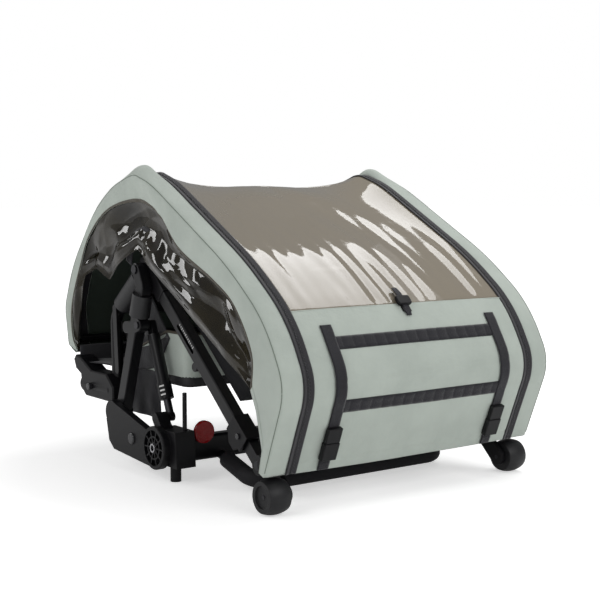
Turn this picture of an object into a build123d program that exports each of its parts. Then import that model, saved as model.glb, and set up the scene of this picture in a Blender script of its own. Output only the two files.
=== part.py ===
"""Child bicycle trailer, folded flat with its wheels off and standing on its two parking rollers.

Frame: X across the trailer (its left side is -X), Y forward, Z up, millimetres.  The origin is
on the ground under the middle of the folded trailer.  Side-view places are (station, height),
where the station is measured forward from the line on which the rollers touch the ground.
"""
import os
from math import atan2, cos, degrees, hypot, radians, sin

from build123d import *

os.makedirs("parts", exist_ok=True)

# ---- driving dimensions ----
ORIGIN_STATION = 368.5   # station of the origin, which centres the folded length on it
FIT = 0.05               # radial clearance of a running fit
RAIL_X = 288             # centre planes of the side members, measured from the middle
LEG_X = 314
HOOP_X = 300
ZIP_X = 274
COVER_X = 329            # inner face of the fabric side
HUB_X = 345              # outer face of the wheel mountings

ROLLER_R = 33.5
ROLLER_WIDTH = 46
ROLLER_AXLE_R = 4

RAIL_ANGLE = 40          # the rails' rise towards the front
RAIL_WIDTH, RAIL_THICK, RAIL_WALL = 30, 25, 2.5
RAIL_START, RAIL_END = 62, 448
FOOT_PIN = (48, 80)      # bolt that joins a rail's foot to its roller bracket
HOOP_PIN = (-8, 92)      # axis on which the canopy hoops turn
SHOULDER_S = 530         # distance of the shoulder joint along the rail from the foot pin
BUTTON_S = 72            # the same distance of the socket's release button
BUTTON_R = 6

LEG_PIVOT = (530, 115)   # axis of the suspension arms
LEG_TOP = (436, 386)
LEG_WIDTH, LEG_THICK = 28, 24
FOAM_R = 21.5
TUBE_WALL = 2

HUB = (351, 68)          # wheel axle
HUB_R = 40
AXLE_R = 6               # quick-release wheel axle
STRUT_TOP = (446, 306)
STRUT_FOOT = (371, 124)

WEBBING = 25
STRAP_X = 205
CLOTH = 2.5              # coated fabric and its lining
PANEL_TOP = 363          # height where the rear panel meets the window
WINDOW_FRONT = 655       # station where the window meets the front panel

# Side outline of the canopy, from the rollers over the crest to the front hem.
CANOPY = [(-19, 74), (-84, 238), (-24, 352), (100, 447), (456, 640), (640, 535), (765, 415),
          (806, 318), (790, 232), (752, 218)]
CANOPY_RADII = [90, 300, 800, 48, 500, 260, 60, 14]
# Inner edge of the fabric side: a short edge beside the rail's foot, then the window's opening.
HEM_EDGE = [(-4, 80), (-14, 122), (4, 190), (22, 226)]
WINDOW_EDGE = [(22, 226), (20, 290), (72, 369), (142, 412), (262, 464), (336, 528), (428, 559),
               (558, 542), (660, 484), (716, 420), (764, 334), (768, 262), (748, 225)]


def along_rail(distance, offset=0.0):
    """Side-view point at a distance along the rail from the foot pin, offset to its upper side."""
    a = radians(RAIL_ANGLE)
    return (FOOT_PIN[0] + distance * cos(a) - offset * sin(a),
            FOOT_PIN[1] + distance * sin(a) + offset * cos(a))


def between(start, end, distance, offset=0.0):
    """Side-view point at a distance from start towards end, offset to the left of that line."""
    length = hypot(end[0] - start[0], end[1] - start[1])
    ux, uy = (end[0] - start[0]) / length, (end[1] - start[1]) / length
    return (start[0] + distance * ux - offset * uy, start[1] + distance * uy + offset * ux)


def side_plane(x):
    """Side view at x: local x is the station, local y the height, and the normal is +X."""
    return Plane(origin=(x, -ORIGIN_STATION, 0), x_dir=(0, 1, 0), z_dir=(1, 0, 0))


def spot(x, station, height):
    """A point of the row frame from its side-view place."""
    return (x, station - ORIGIN_STATION, height)


def disc(centre, radius, mode=Mode.ADD):
    """Round outline about a side-view point."""
    with Locations(centre):
        Circle(radius, mode=mode)


def bar(start, end, width, round_ends=True, mode=Mode.ADD):
    """Bar outline between two side-view points, with round or square ends."""
    run, rise = end[0] - start[0], end[1] - start[1]
    angle = degrees(atan2(rise, run))
    with Locations(((start[0] + end[0]) / 2, (start[1] + end[1]) / 2)):
        if round_ends:
            SlotCenterToCenter(hypot(run, rise), width, rotation=angle, mode=mode)
        else:
            Rectangle(hypot(run, rise), width, rotation=angle, mode=mode)


def polygon(*points):
    """Closed straight-sided outline."""
    with BuildLine() as edge:
        Polyline(*points, close=True)
    make_face(edge.edges())


def inset(points, distance):
    """The points of an open outline moved to its right-hand side, each line staying parallel."""
    moved = []
    for i, point in enumerate(points):
        before = points[max(i - 1, 0)]
        after = points[min(i + 1, len(points) - 1)]
        a = atan2(point[1] - before[1], point[0] - before[0]) if i else None
        b = atan2(after[1] - point[1], after[0] - point[0]) if i < len(points) - 1 else None
        a = b if a is None else a
        b = a if b is None else b
        reach = distance / cos((b - a) / 2)
        middle = (a + b) / 2
        moved.append((point[0] + reach * sin(middle), point[1] - reach * cos(middle)))
    return moved


def canopy_line(distance):
    """The canopy's outline moved inward by a distance, with its rounded corners."""
    FilletPolyline(*inset(CANOPY, distance), radius=[r - distance for r in CANOPY_RADII])


def canopy_strip(depth, thickness, low, high):
    """Section of a sheet that follows the canopy at a depth, cut to a side-view window."""
    with BuildLine() as middle:
        canopy_line(depth)
    trace(middle.edges(), line_width=thickness)
    with Locations(((low[0] + high[0]) / 2, (low[1] + high[1]) / 2)):
        Rectangle(high[0] - low[0], high[1] - low[1], mode=Mode.INTERSECT)


def save(solid, name):
    """Write one node."""
    solid.label = name
    export_step(solid, f"parts/{name}.step")


def save_sides(solid, name):
    """Write the left-hand solid and its mirror image as two nodes."""
    save(solid, f"{name}_left")
    save(solid.mirror(Plane.YZ), f"{name}_right")


# ================= chassis =================

# Seat rail: a box tube from the foot socket up towards the shoulder, slotted on its outer side.
RAIL_OUT = -RAIL_X - RAIL_THICK / 2
RAIL_LUG = (266, -18)    # distance along the rail and offset of the lug under it
SLOT = (290, 362)        # ends of the adjusting slot
RAIL_AXIS = Axis((0, 0, 0), (0, cos(radians(RAIL_ANGLE)), sin(radians(RAIL_ANGLE))))
with BuildPart() as rail:
    with BuildSketch(side_plane(RAIL_OUT)):
        bar(along_rail(RAIL_START), along_rail(RAIL_END), RAIL_WIDTH, round_ends=False)
    extrude(amount=RAIL_THICK)
    fillet(rail.edges().filter_by(RAIL_AXIS), radius=4)
    with BuildSketch(side_plane(RAIL_OUT)):
        disc(along_rail(*RAIL_LUG), 9)
    extrude(amount=RAIL_THICK)
    with BuildSketch(side_plane(RAIL_OUT + RAIL_WALL)):
        bar(along_rail(RAIL_START - 1), along_rail(RAIL_END - 4), RAIL_WIDTH - 2 * RAIL_WALL,
            round_ends=False)
    extrude(amount=RAIL_THICK - 2 * RAIL_WALL, mode=Mode.SUBTRACT)
    with BuildSketch(side_plane(RAIL_OUT)):
        bar(along_rail(SLOT[0]), along_rail(SLOT[1]), 7)
        disc(along_rail(BUTTON_S), BUTTON_R + FIT)
    extrude(amount=RAIL_WALL, mode=Mode.SUBTRACT)
save_sides(rail.part, "rail")

# Socket round each rail's foot, with a sloping lower lip.
SOCKET_WALL = 4
SOCKET_OUT = RAIL_OUT - SOCKET_WALL
with BuildPart() as rail_sockets:
    with BuildSketch(side_plane(SOCKET_OUT)):
        bar(along_rail(50), along_rail(108), RAIL_WIDTH + 2 * SOCKET_WALL, round_ends=False)
        polygon(along_rail(58, -17), along_rail(104, -17), along_rail(86, -33), along_rail(66, -33))
    extrude(amount=RAIL_THICK + 2 * SOCKET_WALL)
    with BuildSketch(side_plane(RAIL_OUT)):
        bar(along_rail(49), along_rail(109), RAIL_WIDTH, round_ends=False)
    extrude(amount=RAIL_THICK, mode=Mode.SUBTRACT)
    with BuildSketch(side_plane(SOCKET_OUT)):
        disc(along_rail(BUTTON_S), BUTTON_R + FIT)
    extrude(amount=SOCKET_WALL, mode=Mode.SUBTRACT)
    mirror(about=Plane.YZ)
save(rail_sockets.part, "rail_sockets")

# Foot tube inside the rail, ending in a round eye on the foot pin.
FOOT_WIDTH, FOOT_THICK = 24.6, 19.6
FOOT_OUT = -RAIL_X - FOOT_THICK / 2
with BuildPart() as foot_tubes:
    with BuildSketch(side_plane(FOOT_OUT)):
        bar(along_rail(4), along_rail(106), FOOT_WIDTH, round_ends=False)
        disc(FOOT_PIN, 19)
    extrude(amount=FOOT_THICK)
    with BuildSketch(side_plane(FOOT_OUT + RAIL_WALL)):
        bar(along_rail(24), along_rail(107), FOOT_WIDTH - 2 * RAIL_WALL, round_ends=False)
    extrude(amount=FOOT_THICK - 2 * RAIL_WALL, mode=Mode.SUBTRACT)
    with BuildSketch(side_plane(FOOT_OUT)):
        disc(along_rail(BUTTON_S), BUTTON_R + FIT)
    extrude(amount=RAIL_WALL, mode=Mode.SUBTRACT)
    with BuildSketch(side_plane(FOOT_OUT)):
        disc(FOOT_PIN, 5)
    extrude(amount=FOOT_THICK, mode=Mode.SUBTRACT)
    mirror(about=Plane.YZ)
save(foot_tubes.part, "foot_tubes")

# Sprung release button in each socket.
BUTTON_PROUD, BUTTON_LENGTH = 3.5, 8.5
with BuildPart() as foot_button:
    with BuildSketch(side_plane(SOCKET_OUT - BUTTON_PROUD)):
        disc(along_rail(BUTTON_S), BUTTON_R)
    extrude(amount=BUTTON_LENGTH)
    fillet(foot_button.faces().sort_by(Axis.X)[0].edges(), radius=1.5)
save_sides(foot_button.part, "foot_button")

# Roller bracket: an inner cheek from the foot pin down to the roller, and two ears above the
# roller that hold the canopy hoop.
CHEEK_OUT, CHEEK_THICK = -275, 9.5
CHEEK_IN = CHEEK_OUT + CHEEK_THICK
EAR_R, EAR_THICK, EAR_GAP = 13, 8, 18.6
EAR_OUT = -HOOP_X - EAR_GAP / 2 - EAR_THICK
ROLLER_CENTRE = (0, ROLLER_R)
with BuildPart() as roller_brackets:
    with BuildSketch(side_plane(CHEEK_OUT)):
        bar(FOOT_PIN, ROLLER_CENTRE, 32)
        bar(FOOT_PIN, (4, 89), 24)
    extrude(amount=CHEEK_THICK)
    with BuildSketch(side_plane(EAR_OUT)):
        bar(HOOP_PIN, (9, 90), 2 * EAR_R)
    extrude(amount=CHEEK_IN - EAR_OUT)
    with BuildSketch(side_plane(-HOOP_X - EAR_GAP / 2)):
        disc(HOOP_PIN, EAR_R + 4)
    extrude(amount=EAR_GAP, mode=Mode.SUBTRACT)
    for place, radius in ((HOOP_PIN, 5), (ROLLER_CENTRE, ROLLER_AXLE_R), (FOOT_PIN, 5)):
        with BuildSketch(side_plane(EAR_OUT)):
            disc(place, radius)
        extrude(amount=CHEEK_IN - EAR_OUT, mode=Mode.SUBTRACT)
    mirror(about=Plane.YZ)
save(roller_brackets.part, "roller_brackets")

# Main leg: a flat tube from the suspension pivot up to the shoulder, with two bosses at mid height.
LEG_OUT, LEG_IN = -LEG_X - LEG_THICK / 2, -LEG_X + LEG_THICK / 2
LEG_BOSS = (463, 300)
with BuildPart() as leg:
    with BuildSketch(side_plane(LEG_OUT)):
        bar(LEG_PIVOT, LEG_TOP, LEG_WIDTH)
        bar(LEG_TOP, along_rail(SHOULDER_S), LEG_WIDTH)
        disc(LEG_PIVOT, 17)
        bar(STRUT_TOP, LEG_BOSS, 26)
        bar((497, 298), LEG_BOSS, 26)
    extrude(amount=LEG_THICK)
    fillet(leg.faces().filter_by(Axis.X).edges(), radius=2.5)
    for place, radius in ((LEG_PIVOT, 6 + FIT), (STRUT_TOP, 4), (along_rail(SHOULDER_S), 6)):
        with BuildSketch(side_plane(LEG_OUT)):
            disc(place, radius)
        extrude(amount=LEG_THICK, mode=Mode.SUBTRACT)
save_sides(leg.part, "leg")

# Foam sleeve on the upper part of each leg.
LEG_DIR = Vector(0, LEG_TOP[0] - LEG_PIVOT[0], LEG_TOP[1] - LEG_PIVOT[1]).normalized()
with BuildPart() as leg_sleeves:
    with BuildSketch(Plane(origin=spot(-LEG_X, *between(LEG_PIVOT, LEG_TOP, 222)),
                           x_dir=(1, 0, 0), z_dir=LEG_DIR)):
        Circle(FOAM_R)
        Rectangle(LEG_THICK, LEG_WIDTH, mode=Mode.SUBTRACT)
    extrude(amount=48)
    mirror(about=Plane.YZ)
save(leg_sleeves.part, "leg_sleeves")

# Shoulder joint: the disc that joins the rail's upper end, the leg and the front arm.
SHOULDER_R = 28
SHOULDER_OUT, SHOULDER_IN = LEG_IN + 0.5, -275.5
with BuildPart() as shoulder_joints:
    with BuildSketch(side_plane(SHOULDER_OUT)):
        disc(along_rail(SHOULDER_S), SHOULDER_R)
        bar(along_rail(RAIL_END), along_rail(SHOULDER_S), 34, round_ends=False)
        disc(along_rail(SHOULDER_S), 6, mode=Mode.SUBTRACT)
    extrude(amount=SHOULDER_IN - SHOULDER_OUT)
    mirror(about=Plane.YZ)
save(shoulder_joints.part, "shoulder_joints")

# Front arm: a round tube that runs forward from the shoulder and bends down into the tow bracket,
# with a flat brace behind it.
ARM_X, ARM_R = -289, 13
ARM_PATH = [(482, 410), (606, 312), (602, 178)]
with BuildPart() as front_arms:
    with BuildLine() as arm_path:
        FilletPolyline(*[spot(ARM_X, *point) for point in ARM_PATH], radius=34)
    with BuildSketch(Plane(origin=arm_path.line @ 0, z_dir=arm_path.line % 0)):
        Circle(ARM_R)
        Circle(ARM_R - TUBE_WALL, mode=Mode.SUBTRACT)
    sweep()
    with BuildSketch(side_plane(ARM_X - ARM_R - 4.5)):
        bar(between(ARM_PATH[0], ARM_PATH[1], 128), (574, 196), 16)
    extrude(amount=4)
    mirror(about=Plane.YZ)
save(front_arms.part, "front_arms")

ARM_DIR = Vector(0, ARM_PATH[1][0] - ARM_PATH[0][0], ARM_PATH[1][1] - ARM_PATH[0][1]).normalized()
with BuildPart() as front_sleeves:
    with BuildSketch(Plane(origin=spot(ARM_X, *between(ARM_PATH[0], ARM_PATH[1], 12)), z_dir=ARM_DIR)):
        Circle(FOAM_R)
        Circle(ARM_R, mode=Mode.SUBTRACT)
    extrude(amount=104)
    mirror(about=Plane.YZ)
save(front_sleeves.part, "front_sleeves")

# Tow bracket: a casting with a forward nose, and a round socket that takes the tow arm.
TOW_X, TOW_THICK, TOW_HEIGHT = -299, 42, 152
TOW_BACK, TOW_FRONT = 590, 722
TOW_OUT = TOW_X - TOW_THICK / 2
TOW_SOCKET_R, TOW_SOCKET_DEPTH = 12.6, 95
TOW_PIN = (668, TOW_HEIGHT)
TOW_PIN_R = 4
with BuildPart() as tow_bracket:
    with BuildSketch(side_plane(TOW_OUT)):
        polygon((568, 127), (700, 127), (716, 140), (722, 172), (746, 182), (757, 204),
                (748, 214), (722, 209), (672, 186), (600, 186), (568, 160))
    extrude(amount=TOW_THICK)
    chamfer(tow_bracket.faces().filter_by(Axis.X).edges(), length=3)
    with BuildSketch(Plane(origin=spot(TOW_X, TOW_BACK, TOW_HEIGHT), z_dir=(0, 1, 0))):
        Circle(22)
    extrude(amount=TOW_FRONT - TOW_BACK)
    with BuildSketch(Plane(origin=spot(TOW_X, TOW_FRONT, TOW_HEIGHT), z_dir=(0, -1, 0))):
        Circle(TOW_SOCKET_R)
    extrude(amount=TOW_SOCKET_DEPTH, mode=Mode.SUBTRACT)
    with BuildSketch(side_plane(TOW_X - 30)):
        disc(TOW_PIN, TOW_PIN_R + FIT)
    extrude(amount=30, mode=Mode.SUBTRACT)
save_sides(tow_bracket.part, "tow_bracket")

# Sprung lock pin of each tow socket, with a pull knob outside.
TOW_KNOB_R, TOW_KNOB_THICK = 8, 9
TOW_PIN_TIP = TOW_X - TOW_SOCKET_R - 1
TOW_KNOB_OUT = TOW_X - 22 - 0.3 - TOW_KNOB_THICK
with BuildPart() as tow_pin:
    with BuildSketch(side_plane(TOW_KNOB_OUT)):
        disc(TOW_PIN, TOW_KNOB_R)
    extrude(amount=TOW_KNOB_THICK)
    fillet(tow_pin.faces().sort_by(Axis.X)[0].edges(), radius=2)
    with BuildSketch(side_plane(TOW_KNOB_OUT + 1)):
        disc(TOW_PIN, TOW_PIN_R)
    extrude(amount=TOW_PIN_TIP - TOW_KNOB_OUT - 1)
save_sides(tow_pin.part, "tow_pin")

# Cross tubes: one between the shoulders and one across the front arms, with a foam sleeve.
FRONT_TUBE = (603, 238)
CROSS_R = 11
with BuildPart() as cross_tubes:
    for place, reach in ((along_rail(SHOULDER_S), -SHOULDER_IN), (FRONT_TUBE, -ARM_X - ARM_R + 3)):
        with BuildSketch(Plane(origin=spot(-reach, *place), z_dir=(1, 0, 0))):
            Circle(CROSS_R)
            Circle(CROSS_R - TUBE_WALL, mode=Mode.SUBTRACT)
        extrude(amount=2 * reach)
save(cross_tubes.part, "cross_tubes")

FRONT_FOAM_X = 235
with BuildPart() as front_cross_sleeve:
    with BuildSketch(Plane(origin=spot(-FRONT_FOAM_X, *FRONT_TUBE), z_dir=(1, 0, 0))):
        Circle(FOAM_R)
        Circle(CROSS_R, mode=Mode.SUBTRACT)
    extrude(amount=2 * FRONT_FOAM_X)
save(front_cross_sleeve.part, "front_cross_sleeve")

# Floor tub: fabric sides on a stiff base, hung between the legs.
TUB_X, TUB_WALL, TUB_BASE = 268, 5, 8
TUB_BACK, TUB_FRONT, TUB_LOW, TUB_HIGH = 345, 560, 182, 292
with BuildPart() as floor_tub:
    with BuildSketch(side_plane(-TUB_X)):
        polygon((TUB_BACK, TUB_LOW), (TUB_FRONT, TUB_LOW), (TUB_FRONT, TUB_HIGH - 50),
                (TUB_BACK + 80, TUB_HIGH), (TUB_BACK, TUB_HIGH))
    extrude(amount=2 * TUB_X)
    with BuildSketch(side_plane(-TUB_X + TUB_WALL)):
        polygon((TUB_BACK + TUB_WALL, TUB_LOW + TUB_BASE), (TUB_FRONT - TUB_WALL, TUB_LOW + TUB_BASE),
                (TUB_FRONT - TUB_WALL, TUB_HIGH + 9), (TUB_BACK + TUB_WALL, TUB_HIGH + 9))
    extrude(amount=2 * (TUB_X - TUB_WALL), mode=Mode.SUBTRACT)
save(floor_tub.part, "floor_tub")

# Seat: a padded back that hangs between the rails, and a padded base folded forward of it.
SEAT_X, SEAT_THICK, SEAT_RISE = 262, 20, 4
with BuildPart() as seat_back:
    with BuildSketch(side_plane(-SEAT_X)):
        bar(along_rail(150, SEAT_RISE), along_rail(500, SEAT_RISE), SEAT_THICK, round_ends=False)
    extrude(amount=2 * SEAT_X)
    fillet(seat_back.edges().filter_by(Axis.X), radius=7)
save(seat_back.part, "seat_back")

with BuildPart() as seat_base:
    with BuildSketch(side_plane(-SEAT_X)):
        bar((486, 388), (572, 320), 18, round_ends=False)
    extrude(amount=2 * SEAT_X)
    fillet(seat_base.edges().filter_by(Axis.X), radius=7)
save(seat_base.part, "seat_base")

# Shoulder straps of the two harnesses, lying on the seat back.
HARNESS_LIFT = SEAT_RISE + SEAT_THICK / 2 + 1.6
with BuildPart() as harness_straps:
    for centre in (-192, -68, 68, 192):
        with BuildSketch(side_plane(centre - WEBBING / 2)):
            bar(along_rail(230, HARNESS_LIFT), along_rail(470, HARNESS_LIFT), 2, round_ends=False)
        extrude(amount=WEBBING)
save(harness_straps.part, "harness_straps")

# Bolts, pins and washers of the chassis, all with a low round head.
HEAD_THICK = 3
with BuildPart() as frame_bolts:
    for place, radius, outer, inner in (
            (FOOT_PIN, 5, FOOT_OUT, CHEEK_IN),
            (HOOP_PIN, 5, EAR_OUT, -HOOP_X + EAR_GAP / 2 + EAR_THICK),
            (STRUT_TOP, 4, LEG_OUT, -284),
            (along_rail(SHOULDER_S), 6, LEG_OUT, SHOULDER_IN)):
        with BuildSketch(side_plane(outer)):
            disc(place, radius)
        extrude(amount=inner - outer)
        with BuildSketch(side_plane(outer - HEAD_THICK)):
            disc(place, radius + 3.5)
        extrude(amount=HEAD_THICK)
    with BuildSketch(side_plane(-319)):
        disc(ROLLER_CENTRE, ROLLER_AXLE_R)
    extrude(amount=CHEEK_IN + 319)
    mirror(about=Plane.YZ)
save(frame_bolts.part, "frame_bolts")

# ================= parking rollers =================

# Barrel-shaped wheel with a dished outer face, turning on its axle.
ROLLER_OUT = -323
ROLLER_EDGE_R, ROLLER_DISH_R = 29, 21
with BuildPart() as roller:
    with BuildSketch(Plane(origin=spot(ROLLER_OUT, *ROLLER_CENTRE), x_dir=(1, 0, 0), z_dir=(0, -1, 0))):
        with BuildLine():
            ThreePointArc((0, ROLLER_EDGE_R), (ROLLER_WIDTH / 2, ROLLER_R), (ROLLER_WIDTH, ROLLER_EDGE_R))
            Polyline((ROLLER_WIDTH, ROLLER_EDGE_R), (ROLLER_WIDTH, ROLLER_AXLE_R + FIT),
                     (5, ROLLER_AXLE_R + FIT), (4, ROLLER_DISH_R - 1), (0, ROLLER_DISH_R),
                     (0, ROLLER_EDGE_R))
        make_face()
    revolve(axis=Axis(spot(0, *ROLLER_CENTRE), (1, 0, 0)))
save_sides(roller.part, "roller")

# ================= axle beam =================

# Housing: the outer plate from the suspension pivot to the wheel hub, the block inboard of it
# with a rubber-tipped foot, the strut's lug, and the two pivot pins.
PLATE_OUT, PLATE_IN = -HUB_X, -COVER_X
BLOCK_IN = -285
POCKET_DEPTH = 10
SLEEVE_R = 9
LUG_IN = -303.5
RELEASE = (438, 74)
RELEASE_R = 12
with BuildPart() as axle_housing:
    with BuildSketch(side_plane(PLATE_OUT)):
        bar(LEG_PIVOT, HUB, 50)
        disc(LEG_PIVOT, 26)
        disc(HUB, HUB_R + 4)
        polygon((553, 100), (541, 54), (520, 38), (372, 28), HUB, LEG_PIVOT)
    extrude(amount=PLATE_IN - PLATE_OUT)
    fillet(axle_housing.faces().sort_by(Axis.X)[0].edges(), radius=3)
    with BuildSketch(side_plane(PLATE_IN)):
        polygon((285, 34), (366, 34), (366, 106), (290, 106))
    extrude(amount=BLOCK_IN - PLATE_IN)
    with BuildSketch(side_plane(PLATE_IN)):
        bar(STRUT_FOOT, (345, 92), 22)
        disc(LEG_PIVOT, 15)
    extrude(amount=2)
    with BuildSketch(side_plane(PLATE_IN)):
        bar(STRUT_FOOT, (345, 92), 22)
    extrude(amount=LUG_IN - PLATE_IN)
    with BuildSketch(side_plane(LUG_IN)):
        disc(STRUT_FOOT, 4)
    extrude(amount=17.5)
    with BuildSketch(side_plane(PLATE_IN)):
        disc(LEG_PIVOT, 6)
    extrude(amount=LEG_IN + 5 - PLATE_IN)
    with BuildSketch(side_plane(LEG_IN + 0.5)):
        disc(LEG_PIVOT, 10)
    extrude(amount=4.5)
    with Locations(spot(-306, 328, 0)):
        Cylinder(11, 36, align=(Align.CENTER, Align.CENTER, Align.MIN))
    with Locations(spot(-300, 302, 140)):
        Cylinder(4.5, 84, align=(Align.CENTER, Align.CENTER, Align.CENTER))
    with BuildSketch(side_plane(PLATE_OUT)):
        disc(HUB, HUB_R)
        disc(RELEASE, RELEASE_R + FIT)
    extrude(amount=POCKET_DEPTH, mode=Mode.SUBTRACT)
    with BuildSketch(side_plane(PLATE_OUT)):
        disc(HUB, SLEEVE_R)
    extrude(amount=40, mode=Mode.SUBTRACT)
save_sides(axle_housing.part, "axle_housing")

# Wheel hub plate: a ring and radial ribs on a thin web.
RIB_COUNT = 10
with BuildPart() as hub_plates:
    with BuildSketch(side_plane(PLATE_OUT + POCKET_DEPTH - 3)):
        disc(HUB, HUB_R)
    extrude(amount=3)
    with BuildSketch(side_plane(PLATE_OUT)):
        disc(HUB, HUB_R)
        disc(HUB, HUB_R - 4, mode=Mode.SUBTRACT)
    extrude(amount=POCKET_DEPTH)
    with BuildSketch(side_plane(PLATE_OUT + 1)):
        disc(HUB, 24)
        disc(HUB, 21, mode=Mode.SUBTRACT)
        disc(HUB, 12)
        with Locations(HUB):
            with PolarLocations((HUB_R + 8) / 2, RIB_COUNT):
                Rectangle(HUB_R - 10, 3)
    extrude(amount=POCKET_DEPTH - 1)
    with BuildSketch(side_plane(PLATE_OUT)):
        disc(HUB, SLEEVE_R)
    extrude(amount=POCKET_DEPTH, mode=Mode.SUBTRACT)
    mirror(about=Plane.YZ)
save(hub_plates.part, "hub_plates")

# Steel bush that takes the quick-release wheel axle.
AXLE_BUSH_DEPTH = 42
with BuildPart() as axle_bushes:
    with BuildSketch(side_plane(PLATE_OUT - 2)):
        disc(HUB, SLEEVE_R)
        disc(HUB, AXLE_R + FIT, mode=Mode.SUBTRACT)
    extrude(amount=AXLE_BUSH_DEPTH)
    mirror(about=Plane.YZ)
save(axle_bushes.part, "axle_bushes")

# Wheel release button in each housing.
with BuildPart() as release_button:
    with BuildSketch(side_plane(PLATE_OUT - 4)):
        disc(RELEASE, RELEASE_R)
    extrude(amount=9)
    fillet(release_button.faces().sort_by(Axis.X)[0].edges(), radius=3)
save_sides(release_button.part, "release_button")

# Crossbar between the housings, with the reflector brackets and the brake pedal's ears.
BAR_STATION, BAR_HEIGHT, BAR_DEEP, BAR_TALL = 330, 63, 30, 50
REFLECTOR_X, REFLECTOR_HEIGHT, REFLECTOR_R = 254, 98, 23
REFLECTOR_BACK = 308
PEDAL_X, PEDAL_WIDTH, PEDAL_PIN, PEDAL_PIN_R = 150, 60, (312, 98), 3
with BuildPart() as axle_crossbar:
    with BuildSketch(Plane(origin=spot(BLOCK_IN, BAR_STATION, BAR_HEIGHT), x_dir=(0, 1, 0), z_dir=(1, 0, 0))):
        RectangleRounded(BAR_DEEP, BAR_TALL, 6)
        offset(amount=-2.5, mode=Mode.SUBTRACT)
    extrude(amount=-2 * BLOCK_IN)
    for x in (-REFLECTOR_X, REFLECTOR_X):
        with BuildSketch(side_plane(x - 7)):
            polygon((REFLECTOR_BACK, 86), (336, 86), (328, 104), (REFLECTOR_BACK, 104))
        extrude(amount=14)
    for x in (PEDAL_X - PEDAL_WIDTH / 2 - 4.4, PEDAL_X + PEDAL_WIDTH / 2 + 0.4):
        with BuildSketch(side_plane(x)):
            bar(PEDAL_PIN, (326, 84), 12)
        extrude(amount=4)
    with BuildSketch(side_plane(PEDAL_X - PEDAL_WIDTH / 2 - 2)):
        disc(PEDAL_PIN, PEDAL_PIN_R)
    extrude(amount=PEDAL_WIDTH + 4)
save(axle_crossbar.part, "axle_crossbar")

with BuildPart() as reflectors:
    for x in (-REFLECTOR_X, REFLECTOR_X):
        with BuildSketch(Plane(origin=spot(x, REFLECTOR_BACK, REFLECTOR_HEIGHT), z_dir=(0, -1, 0))):
            Circle(REFLECTOR_R)
        extrude(amount=8)
    fillet(reflectors.faces().filter_by(Axis.Y).group_by(Axis.Y)[0].edges(), radius=2)
save(reflectors.part, "reflectors")

with BuildPart() as brake_pedal:
    with BuildSketch(side_plane(PEDAL_X - PEDAL_WIDTH / 2)):
        bar(PEDAL_PIN, (266, 108), 7)
        disc(PEDAL_PIN, 6.5)
        disc(PEDAL_PIN, PEDAL_PIN_R + FIT, mode=Mode.SUBTRACT)
    extrude(amount=PEDAL_WIDTH)
save(brake_pedal.part, "brake_pedal")

# Low U-shaped bar behind the crossbar, with a foam sleeve round its bend and middle.
BUMPER_PATH = [(-205, 318, 44), (-243, 134, 24), (243, 134, 24), (205, 318, 44)]
BUMPER_BEND, BUMPER_R, BUMPER_FOAM_R = 42, 9, 17
SLEEVE_SHARE = 0.2       # bare share of each arm, nearest the crossbar
with BuildPart() as bumper_bar:
    with BuildLine() as bumper_path:
        FilletPolyline(*[spot(*point) for point in BUMPER_PATH], radius=BUMPER_BEND)
    with BuildSketch(Plane(origin=bumper_path.line @ 0, z_dir=bumper_path.line % 0)):
        Circle(BUMPER_R)
    sweep()
save(bumper_bar.part, "bumper_bar")

arm_back = tuple(a + (b - a) * SLEEVE_SHARE for a, b in zip(BUMPER_PATH[0], BUMPER_PATH[1]))
foam_points = [arm_back, BUMPER_PATH[1], BUMPER_PATH[2], (-arm_back[0], arm_back[1], arm_back[2])]
with BuildPart() as bumper_sleeve:
    with BuildLine() as foam_path:
        FilletPolyline(*[spot(*point) for point in foam_points], radius=BUMPER_BEND)
    with BuildSketch(Plane(origin=foam_path.line @ 0, z_dir=foam_path.line % 0)):
        Circle(BUMPER_FOAM_R)
        Circle(BUMPER_R, mode=Mode.SUBTRACT)
    sweep()
save(bumper_sleeve.part, "bumper_sleeve")

# ================= suspension struts =================

STRUT_X, STRUT_R, ROD_R = -292, 13, 8
STRUT_LENGTH = hypot(STRUT_TOP[0] - STRUT_FOOT[0], STRUT_TOP[1] - STRUT_FOOT[1])
STRUT_DIR = Vector(0, STRUT_FOOT[0] - STRUT_TOP[0], STRUT_FOOT[1] - STRUT_TOP[1]).normalized()
EYE_R, EYE_THICK = 9.5, 12
TUBE_START, TUBE_END = 22, 160
with BuildPart() as strut_tube:
    with BuildSketch(side_plane(STRUT_X - EYE_THICK / 2)):
        bar(STRUT_TOP, between(STRUT_TOP, STRUT_FOOT, TUBE_START + 2), 2 * EYE_R)
    extrude(amount=EYE_THICK)
    with BuildSketch(Plane(origin=spot(STRUT_X, *between(STRUT_TOP, STRUT_FOOT, TUBE_START)),
                           z_dir=STRUT_DIR)):
        Circle(STRUT_R)
    extrude(amount=TUBE_END - TUBE_START)
    with BuildSketch(Plane(origin=spot(STRUT_X, *between(STRUT_TOP, STRUT_FOOT, TUBE_END - 34)),
                           z_dir=STRUT_DIR)):
        Circle(STRUT_R + 2)
    extrude(amount=34)
    with BuildSketch(Plane(origin=spot(STRUT_X, *between(STRUT_TOP, STRUT_FOOT, 40)), z_dir=STRUT_DIR)):
        Circle(ROD_R + FIT)
    extrude(amount=TUBE_END - 40, mode=Mode.SUBTRACT)
    with BuildSketch(side_plane(STRUT_X - EYE_THICK / 2)):
        disc(STRUT_TOP, 4 + FIT)
    extrude(amount=EYE_THICK, mode=Mode.SUBTRACT)
save_sides(strut_tube.part, "strut_tube")

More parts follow.
